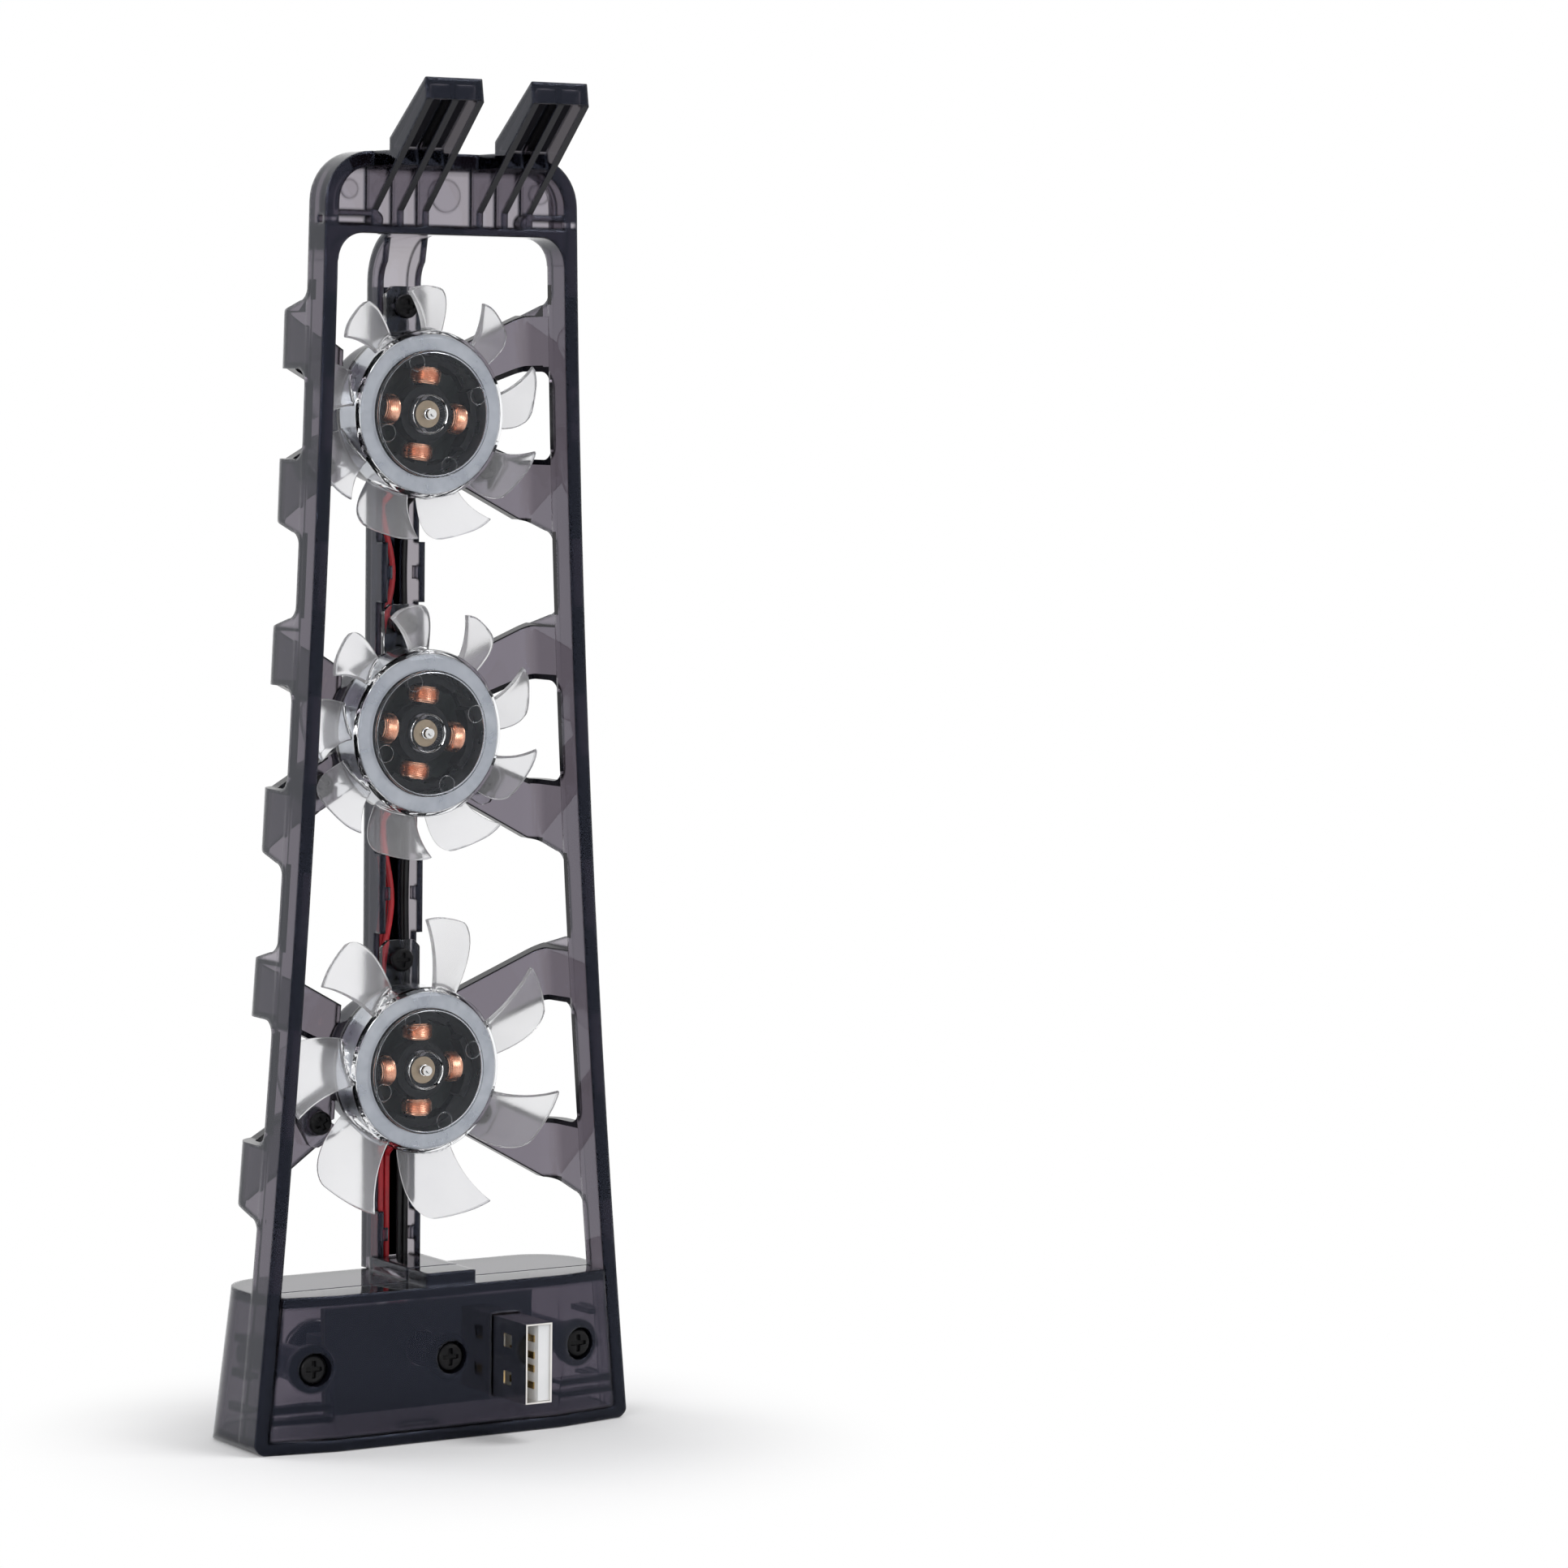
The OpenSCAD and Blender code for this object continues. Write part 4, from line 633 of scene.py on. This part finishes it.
def splitFaces(piece, wanted, place, facing):
    startEdit(piece)
    bpy.ops.mesh.select_mode(type="FACE")
    bpy.ops.mesh.select_all(action="DESELECT")
    endEdit()
    for face in piece.data.polygons:
        face.select = wanted(face.center / mm, face.normal)
    bpy.ops.object.mode_set(mode="EDIT")
    bpy.ops.mesh.bisect(plane_co=place * mm, plane_no=facing, threshold=mergeGap * mm)
    endEdit()


def splitBorders(piece):
    # Cuts the faces along the lines where the painted shade borders end
    wide = paintedShadeFaces["armWide"]
    for edge in armBorders:
        first, _, inward, border = edge
        splitFaces(piece, lambda place, facing: isBroad(place, facing) and besideEdge(place, edge, wide),
                   first + inward * border, inward)
    splitFaces(piece, inRim, Vector((0, paintedShadeFaces["rimBack"], 0)), Vector((0, 1, 0)))
    for middle, reach in armStands():
        for end in (-1, 1):
            splitFaces(piece, inRim, Vector((0, 0, middle + end * reach)), Vector((0, 0, 1)))


def takesPaintedShade(place, facing):
    # Faces painted near-black as shade: edges and borders of the arms, the rails between them and the front edges of
    # the hooks' ribs
    d = paintedShadeFaces
    if d["ribFoot"] < place.z < d["ribTop"] and place.y > d["ribBack"]:
        return abs(facing.x) < d["ribAcross"] and facing.y > d["ribLean"] and facing.z < -d["ribLean"]
    if inRim(place, facing):
        besideArm = any(abs(place.z - middle) < reach for middle, reach in armStands())
        return place.y < d["rimBack"] and not besideArm
    if not onArm(place):
        return False
    if abs(facing.z) > d["slant"]:
        return True
    return isBroad(place, facing) and any(besideEdge(place, edge, edge[3]) for edge in armBorders)


def roundFoot(piece, side):
    # A block with a rod taken out of it cuts the lower corner of the foot round
    f = footRound
    r, middle, deep = f["radius"], (f["front"] + f["back"]) / 2, f["front"] - f["back"]
    wide = r + f["over"]
    bpy.ops.object.select_all(action="DESELECT")
    bpy.ops.mesh.primitive_cylinder_add(vertices=f["sides"], radius=r * mm, depth=(deep + f["spare"]) * mm,
                                        location=(side * f["across"] * mm, middle * mm, (r - f["dip"]) * mm),
                                        rotation=(math.pi / 2, 0, 0))
    rod = bpy.context.object
    bpy.ops.object.transform_apply(location=True, rotation=True, scale=True)
    bpy.ops.object.select_all(action="DESELECT")
    bpy.ops.mesh.primitive_cube_add(size=1, location=(side * (f["across"] + wide / 2) * mm, middle * mm,
                                                      (r - wide / 2) * mm))
    block = bpy.context.object
    block.scale = (wide * mm, deep * mm, wide * mm)
    bpy.ops.object.transform_apply(location=True, rotation=True, scale=True)
    for target, cutter in ((block, rod), (piece, block)):
        applyModifier(target, "BOOLEAN", object=cutter, operation="DIFFERENCE", solver="EXACT")
        bpy.data.objects.remove(cutter)


def makeMoulding():
    rim, *rest = [copyNode(node, node + "_copy") for node in mouldingParts]
    roundEdges(rim, moulding["edge"], moulding["edgeSteps"], lambda p: p.y > moulding["frontY"])
    for piece in rest:
        sinkSeat(piece)
    unite(rim, *rest)
    for side in (-1, 1):
        roundFoot(rim, side)
    startEdit(rim)
    bpy.ops.mesh.remove_doubles(threshold=moulding["hairGap"] * mm)  # closes hair gaps that the cuts leave
    endEdit()
    rim.name = "moulding"
    splitBorders(rim)
    shadeClean(rim)
    dress(rim, "frame", "smoke", "smokePlastic", *mouldingParts)
    # Second slot: painted edge shade on the faces chosen below
    rim.data.materials.append(materials["paintedEdgeShade"])
    for face in rim.data.polygons:
        face.material_index = 1 if takesPaintedShade(face.center / mm, face.normal) else 0
    print("moulding:", len(rim.data.polygons), "faces")
    spine = copyNode("spine", "spineRail")
    startEdit(spine)
    bpy.ops.mesh.dissolve_limited(angle_limit=math.radians(moulding["flatAngle"]))
    endEdit()
    shadeClean(spine)
    dress(spine, "frame", "smoke", "smokePlastic", "spine")


coverEdge = 0.2  # mm
coverWells = {"across": (-22.5, 0, 22.5), "height": 12.3, "radius": 2.6, "floor": 0.2, "side": 0.5}
coverRibs = {"heights": (4.6, 6.4), "thick": 0.55, "inner": 19.4, "outer": 29.0, "front": -0.3, "back": -3.6,
             "facet": 1.5}  # mm by which the facet comes forward along a rib


def coverRib(side, height):
    # Short level rib behind a facet of the cover, with its front end drawn out to follow the facet
    r = coverRibs
    bpy.ops.object.select_all(action="DESELECT")
    middle = (side * (r["inner"] + r["outer"]) / 2 * mm, (r["front"] + r["back"]) / 2 * mm, height * mm)
    bpy.ops.mesh.primitive_cube_add(size=1, location=middle)
    rib = bpy.context.object
    rib.scale = ((r["outer"] - r["inner"]) * mm, (r["front"] - r["back"]) * mm, r["thick"] * mm)
    bpy.ops.object.transform_apply(location=True, rotation=True, scale=True)
    startEdit(rib)
    bpy.ops.mesh.select_all(action="DESELECT")
    bpy.ops.mesh.select_mode(type="VERT")
    endEdit()
    for v in rib.data.vertices:
        v.select = abs(v.co.x) < abs(middle[0]) and v.co.y > middle[1]
    bpy.ops.object.mode_set(mode="EDIT")
    bpy.ops.transform.translate(value=(0, r["facet"] * mm, 0))
    endEdit()
    return rib


def makeCover():
    cover = copyNode("base_cover", "coverPlate")
    unite(cover, *[coverRib(side, height) for side in (-1, 1) for height in coverRibs["heights"]])
    softenEdges(cover, coverEdge)
    dress(cover, "frame", "smoke", "smokePlastic", "base_cover")
    cover.data.materials.append(materials["wellShade"])
    for face in cover.data.polygons:
        place = face.center / mm
        for x in coverWells["across"]:
            if math.hypot(place.x - x, place.z - coverWells["height"]) < coverWells["radius"]:
                inside = abs(face.normal.y) < coverWells["side"] or place.y < coverWells["floor"]
                face.material_index = 1 if inside else 0


makeMoulding()
makeCover()
print("moulding and cover made")

# Tip radius, blade count, the blade's spans in degrees, then mm at its leading edge and mm per degree along Y
smallFan = {"tip": 19, "blades": 9, "rootSpan": 32.3, "taper": 3, "sweep": 8.6, "drop": 0.5, "frontY": -5.86,
            "pitch": 0.17}
largeFan = {"tip": 23, "blades": 7, "rootSpan": 38, "taper": 10, "sweep": 7.6, "drop": 0.2, "frontY": -5.34,
            "pitch": 0.165}
fanAxes = {  # phase is the angle of the first blade
    "top": {"z": fanHeights["top"], "phase": -12.9, **smallFan},
    "middle": {"z": fanHeights["middle"], "phase": -21.3, **smallFan},
    "bottom": {"z": fanHeights["bottom"], "phase": -2.0, **largeFan},
}
cup = {"radius": 12.5, "wall": 0.76, "front": -5.7, "back": -12.8, "frontRadius": 11.1, "shoulder": 1.0,
       "floor": -6.72, "bossRadius": 2.8, "bossEnd": -7.7, "boreRadius": 0.75, "boreEnd": -6.2, "edge": 0.3,
       "segments": 96}
blade = {"thick": 0.75, "corner": 8.0, "across": 10, "along": 14, "edge": 0.22, "softAngle": 50,
         "rootIn": 0.4, "dropEnd": 0.4, "leadCurve": 1.6}  # mm inside the cup, share of the tip, power
angleStep = math.pi / 180


def bladePoint(fan, s, t):
    # s runs from hub to tip, t from the leading to the trailing edge
    s = math.sin(s * math.pi / 2)
    root = cup["radius"] - blade["rootIn"]
    tip = fan["tip"] - fan["drop"] * (1 - min(t / blade["dropEnd"], 1)) ** 2
    r = root + s * (tip - root)
    lead = fan["sweep"] * (1 - s ** blade["leadCurve"])
    trail = fan["rootSpan"] - fan["taper"] * s - blade["corner"] * (1 - math.sqrt(max(0, 1 - s ** 4)))
    turned = lead + (trail - lead) * t
    y = fan["frontY"] - fan["pitch"] * turned
    a = (fan["phase"] + turned) * angleStep
    return Vector((-r * math.sin(a), y, fan["z"] + r * math.cos(a))) * mm


def makeBlade(fan):
    bpy.ops.object.select_all(action="DESELECT")
    bpy.ops.mesh.primitive_grid_add(x_subdivisions=blade["across"], y_subdivisions=blade["along"], size=1)
    piece = bpy.context.object
    for v in piece.data.vertices:
        v.co = bladePoint(fan, v.co.y + 0.5, v.co.x + 0.5)  # the grid is 1 wide about its middle
    startEdit(piece)
    bpy.ops.mesh.normals_make_consistent(inside=False)
    endEdit()
    applyModifier(piece, "SOLIDIFY", thickness=blade["thick"] * mm, offset=0)
    softenEdges(piece, blade["edge"], angle=blade["softAngle"])
    return piece


ejector = {"radius": 1.3, "line": 0.07, "segments": 40, "reach": 8.1, "angles": (20, 110, 200, 290)}
cupStep = {"radius": 9.25, "line": 0.2, "segments": 96}
ringSection = {"sides": 6, "flatten": 0.6}


def raisedRing(fan, radius, line, segments, reach=0, angle=0):
    # Fine raised ring on the front of the cup, as an ejector pin or a step in the mould leaves it
    a = angle * angleStep
    bpy.ops.object.select_all(action="DESELECT")
    bpy.ops.mesh.primitive_torus_add(
        major_radius=radius * mm, minor_radius=line * mm, major_segments=segments,
        minor_segments=ringSection["sides"],
        location=(reach * math.sin(a) * mm, cup["front"] * mm,
                  (fan["z"] + reach * math.cos(a)) * mm), rotation=(math.pi / 2, 0, 0))
    mark = bpy.context.object
    bpy.ops.object.transform_apply(location=True, rotation=True, scale=True)
    startEdit(mark)
    bpy.ops.transform.resize(value=(1, ringSection["flatten"], 1), center_override=(0, cup["front"] * mm, 0))
    endEdit()
    bpy.ops.object.shade_smooth()
    mark.data.materials.append(materials["clearPlastic"])
    return mark


def makeRotor(key):
    fan = fanAxes[key]
    c = cup
    body = turn("rotor_" + key + "_shell", [
        (c["frontRadius"], c["front"]), (c["radius"], c["front"] - c["shoulder"]), (c["radius"], c["back"]),
        (c["radius"] - c["wall"], c["back"]), (c["radius"] - c["wall"], c["floor"]), (c["bossRadius"], c["floor"]),
        (c["bossRadius"], c["bossEnd"]), (c["boreRadius"], c["bossEnd"]), (c["boreRadius"], c["boreEnd"])],
        z=fan["z"], segments=c["segments"])
    softenEdges(body, c["edge"])
    body.data.materials.append(materials["clearPlastic"])
    first = makeBlade(fan)
    first.data.materials.append(materials["clearPlastic"])
    first.data.materials.append(materials["frostedBlade"])
    for polygon in first.data.polygons:
        polygon.material_index = 1
    blades = [first]
    axis = Matrix.Translation((0, 0, fan["z"] * mm))
    for i in range(1, fan["blades"]):
        copied = first.copy()
        copied.data = first.data.copy()
        spin = Matrix.Rotation(-i * 2 * math.pi / fan["blades"], 4, "Y")
        copied.data.transform(axis @ spin @ axis.inverted())
        scene.collection.objects.link(copied)
        blades.append(copied)
    body.data.materials.append(materials["frostedBlade"])
    unite(body, joinPieces(blades, "blades_" + key))
    shadeClean(body)
    rings = [raisedRing(fan, cupStep["radius"], cupStep["line"], cupStep["segments"])]
    for angle in ejector["angles"]:
        rings.append(raisedRing(fan, ejector["radius"], ejector["line"], ejector["segments"], ejector["reach"], angle))
    body = joinPieces([body] + rings, body.name)
    dress(body, "fan_" + key, "clear", None, "rotor_" + key)
    print("rotor", key, len(body.data.polygons), "faces")


for fanKey in fanAxes:
    makeRotor(fanKey)

coil = {"root": 4.4, "long": 2.6, "radius": 2.3, "bulge": 0.6, "turns": 12, "dent": 0.09, "middle": -9.7,
        "sides": 28, "poles": 4}
coilTurn = {"top": -7, "middle": -8, "bottom": 0}


def makeCoils(key):
    # One wound coil is turned along Y, then laid along each pole
    profile = []
    steps = coil["turns"] * 2
    for i in range(steps + 1):
        u = i / steps
        bulge = coil["radius"] - coil["bulge"] * (2 * u - 1) ** 4
        profile.append((bulge - coil["dent"] * (i % 2 == 0), coil["root"] + coil["long"] * u))
    first = turn("coils_" + key + "_wound", profile, segments=coil["sides"])
    wound = [first]
    for i in range(1, coil["poles"]):
        copied = first.copy()
        copied.data = first.data.copy()
        scene.collection.objects.link(copied)
        wound.append(copied)
    for i, piece in enumerate(wound):
        lay = Matrix.Rotation(math.radians(-90), 4, "Z")
        spin = Matrix.Rotation(math.radians(360 / coil["poles"] * i + coilTurn[key]), 4, "Y")
        lift = Matrix.Translation((0, coil["middle"] * mm, fanAxes[key]["z"] * mm))
        piece.data.transform(lift @ spin @ lay)
    coils = joinPieces(wound, "coils_" + key + "_wound")
    shadeClean(coils)
    dress(coils, "frame", "copper", "copperWire", "coils_" + key)


for fanKey in fanAxes:
    makeCoils(fanKey)
print("coils wound")

# Pieces whose CAD shape is right but whose edges are softer: node, edge radius, finish, slot, body
softened = [
    ("plug_shell", 0.12, "nickel", "nickel", "frame"),
    ("socket_shell", 0.1, "nickel", "nickel", "frame"),
    ("plug_tongue", 0.12, "whitePlastic", "white", "frame"),
    ("socket_tongue", 0.12, "whitePlastic", "white", "frame"),
    ("spine_strip", 0.15, "glossStrip", "strip", "frame"),
    ("push_switch", 0.2, "switchBody", "switch", "frame"),
    ("push_button", 0.2, "buttonGloss", "button", "button"),
    ("cover_screws", 0.1, "blackSteel", "black_steel", "frame"),
    ("fan_screws", 0.1, "blackSteel", "black_steel", "frame"),
]
for key in fanAxes:
    softened.append(("fan_holder_" + key, 0.2, "clearPlastic", "clear", "frame"))
    softened.append(("stator_" + key, 0.15, "iron", "iron", "frame"))
    softened.append(("magnet_" + key, 0.15, "magnet", "magnet", "fan_" + key))
for node, edge, finish, slot, body in softened:
    piece = copyNode(node, node + "_soft")
    softenEdges(piece, edge)
    dress(piece, body, slot, finish, node)
print("softened pieces:", len(softened))

leads = {  # each pair runs from its fan's board down the spine to the control board, in mm
    "thick": 0.9, "bow": {1: 2.2, -1: 0.3},  # how far the red and the black lead bow out
    "ease": 0.7, "easeShare": 2.1, "easeSteps": 5, "longRun": 15, "step": 1.5,
    "start": ((-13.85, -10.1), (-13.85, -11.55)), "drop": -13.6,  # y, and z from the fan's axis
    "foot": 23.5, "finish": ((-11.4, 1), (-9.3, 0)),  # z, then y, and z from the pair's end
    "pairs": (
        {"across": 2.1, "fan": "top", "lie": -17.57, "end": 18.45, "slack": ((139, 117, 0.9), (92, 68, 0.5))},
        {"across": 2.1, "fan": "middle", "lie": -16.51, "end": 19.5, "slack": ((90, 68, 0.7),)},
        {"across": 1.1, "fan": "bottom", "lie": -16.51, "end": 19.5, "slack": ()},
    ),
}


def leadPath(pair):
    # Corners of the route with y and z, then each corner eased
    fan, lie, end = fanHeights[pair["fan"]], pair["lie"], pair["end"]
    route = [(y, fan + z) for y, z in leads["start"]]
    route += [(lie, fan + leads["drop"]), (lie, leads["foot"])]
    route += [(y, end + z) for y, z in leads["finish"]]
    route = [Vector((0, y, z)) for y, z in route]
    points = [route[0]]
    for before, corner, after in zip(route, route[1:], route[2:]):
        share = leads["easeShare"]
        cut = min(leads["ease"], (corner - before).length / share, (after - corner).length / share)
        first = corner + (before - corner).normalized() * cut
        last = corner + (after - corner).normalized() * cut
        for i in range(leads["easeSteps"] + 1):
            u = i / leads["easeSteps"]
            points.append(first * (1 - u) ** 2 + corner * (2 * u * (1 - u)) + last * u * u)
        if (after - corner).length > leads["longRun"]:
            steps = int((after - corner).length / leads["step"])
            points += [last.lerp(after, i / steps) for i in range(1, steps)]
    points.append(route[-1])
    return points


def makeLead(pair, side, name):
    path = leadPath(pair)
    curve = bpy.data.curves.new(name, "CURVE")
    curve.dimensions = "3D"
    curve.bevel_depth = leads["thick"] / 2 * mm
    curve.bevel_resolution = 3
    curve.use_fill_caps = True
    spline = curve.splines.new("POLY")
    spline.points.add(len(path) - 1)
    for point, place in zip(spline.points, path):
        inward = 0
        for top, bottom, depth in pair["slack"]:
            if bottom < place.z < top:
                inward += leads["bow"][side] * depth * math.sin(math.pi * (place.z - bottom) / (top - bottom)) ** 2
        point.co = (side * (pair["across"] - inward) * mm, place.y * mm, place.z * mm, 1)
    lead = bpy.data.objects.new(name, curve)
    scene.collection.objects.link(lead)
    activate(lead)
    bpy.ops.object.convert(target="MESH")
    bpy.ops.object.shade_smooth()
    return bpy.context.object


for colour, side in (("red", 1), ("black", -1)):
    runs = [makeLead(pair, side, colour + "Lead%d" % i) for i, pair in enumerate(leads["pairs"])]
    dress(joinPieces(runs, colour + "Leads"), "frame", colour + "_wire", colour + "Wire", "wires_" + colour)
print("leads laid")

hookPad = {"wide": 8.0, "long": 13.03, "thick": 0.8, "foot": (4.6, 191.6), "slope": 38.79, "across": 8.75,
           "corner": 0.6, "cornerSteps": 4, "edge": 0.22, "edgeSteps": 3, "crown": 0.1, "grain": 0.16}


def makePads():
    # Foam pad with round corners and a slight crown, laid on the slope of each hook
    wide, long, thick = (hookPad[k] * mm for k in ("wide", "long", "thick"))
    bpy.ops.object.select_all(action="DESELECT")
    bpy.ops.mesh.primitive_cube_add(size=1, location=(0, long / 2, thick / 2))
    first = bpy.context.object
    first.scale = (wide, long, thick)
    bpy.ops.object.transform_apply(location=True, rotation=True, scale=True)
    roundEdges(first, hookPad["corner"], hookPad["cornerSteps"], lambda p: True,
               lambda a, b: abs(a.z - b.z) > hookPad["thick"] / 2)
    roundEdges(first, hookPad["edge"], hookPad["edgeSteps"], lambda p: True)
    applyModifier(first, "TRIANGULATE")
    applyModifier(first, "REMESH", mode="VOXEL", voxel_size=hookPad["grain"] * mm)
    for v in first.data.vertices:
        if v.co.z > thick / 2:
            across, along = 2 * v.co.x / wide, 2 * v.co.y / long - 1
            v.co.z -= hookPad["crown"] * mm * (across ** 4 + along ** 4) / 2
    bpy.ops.object.shade_smooth()
    pads = [first, first.copy()]
    pads[1].data = first.data.copy()
    scene.collection.objects.link(pads[1])
    for pad, side in zip(pads, (-1, 1)):
        y, z = hookPad["foot"]
        place = Matrix.Translation((side * hookPad["across"] * mm, y * mm, z * mm))
        pad.data.transform(place @ Matrix.Rotation(math.radians(hookPad["slope"]), 4, "X"))
    pair = joinPieces(pads, "foamPads")
    dress(pair, "frame", "foam", "foam", "hook_pads")


makePads()
print("pads made")

# Nodes that stay as they are and only take a finish
plainNodes = {"plug_contacts": "gold", "socket_contacts": "gold", "control_board": "circuitBoard"}
for key in fanAxes:
    plainNodes.update({"fan_board_" + key: "circuitBoard", "bearing_" + key: "bronze", "shaft_" + key: "steel"})
for node, finish in plainNodes.items():
    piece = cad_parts[node]
    piece.data.materials.clear()
    piece.data.materials.append(materials[finish])
print("plain nodes:", len(plainNodes))
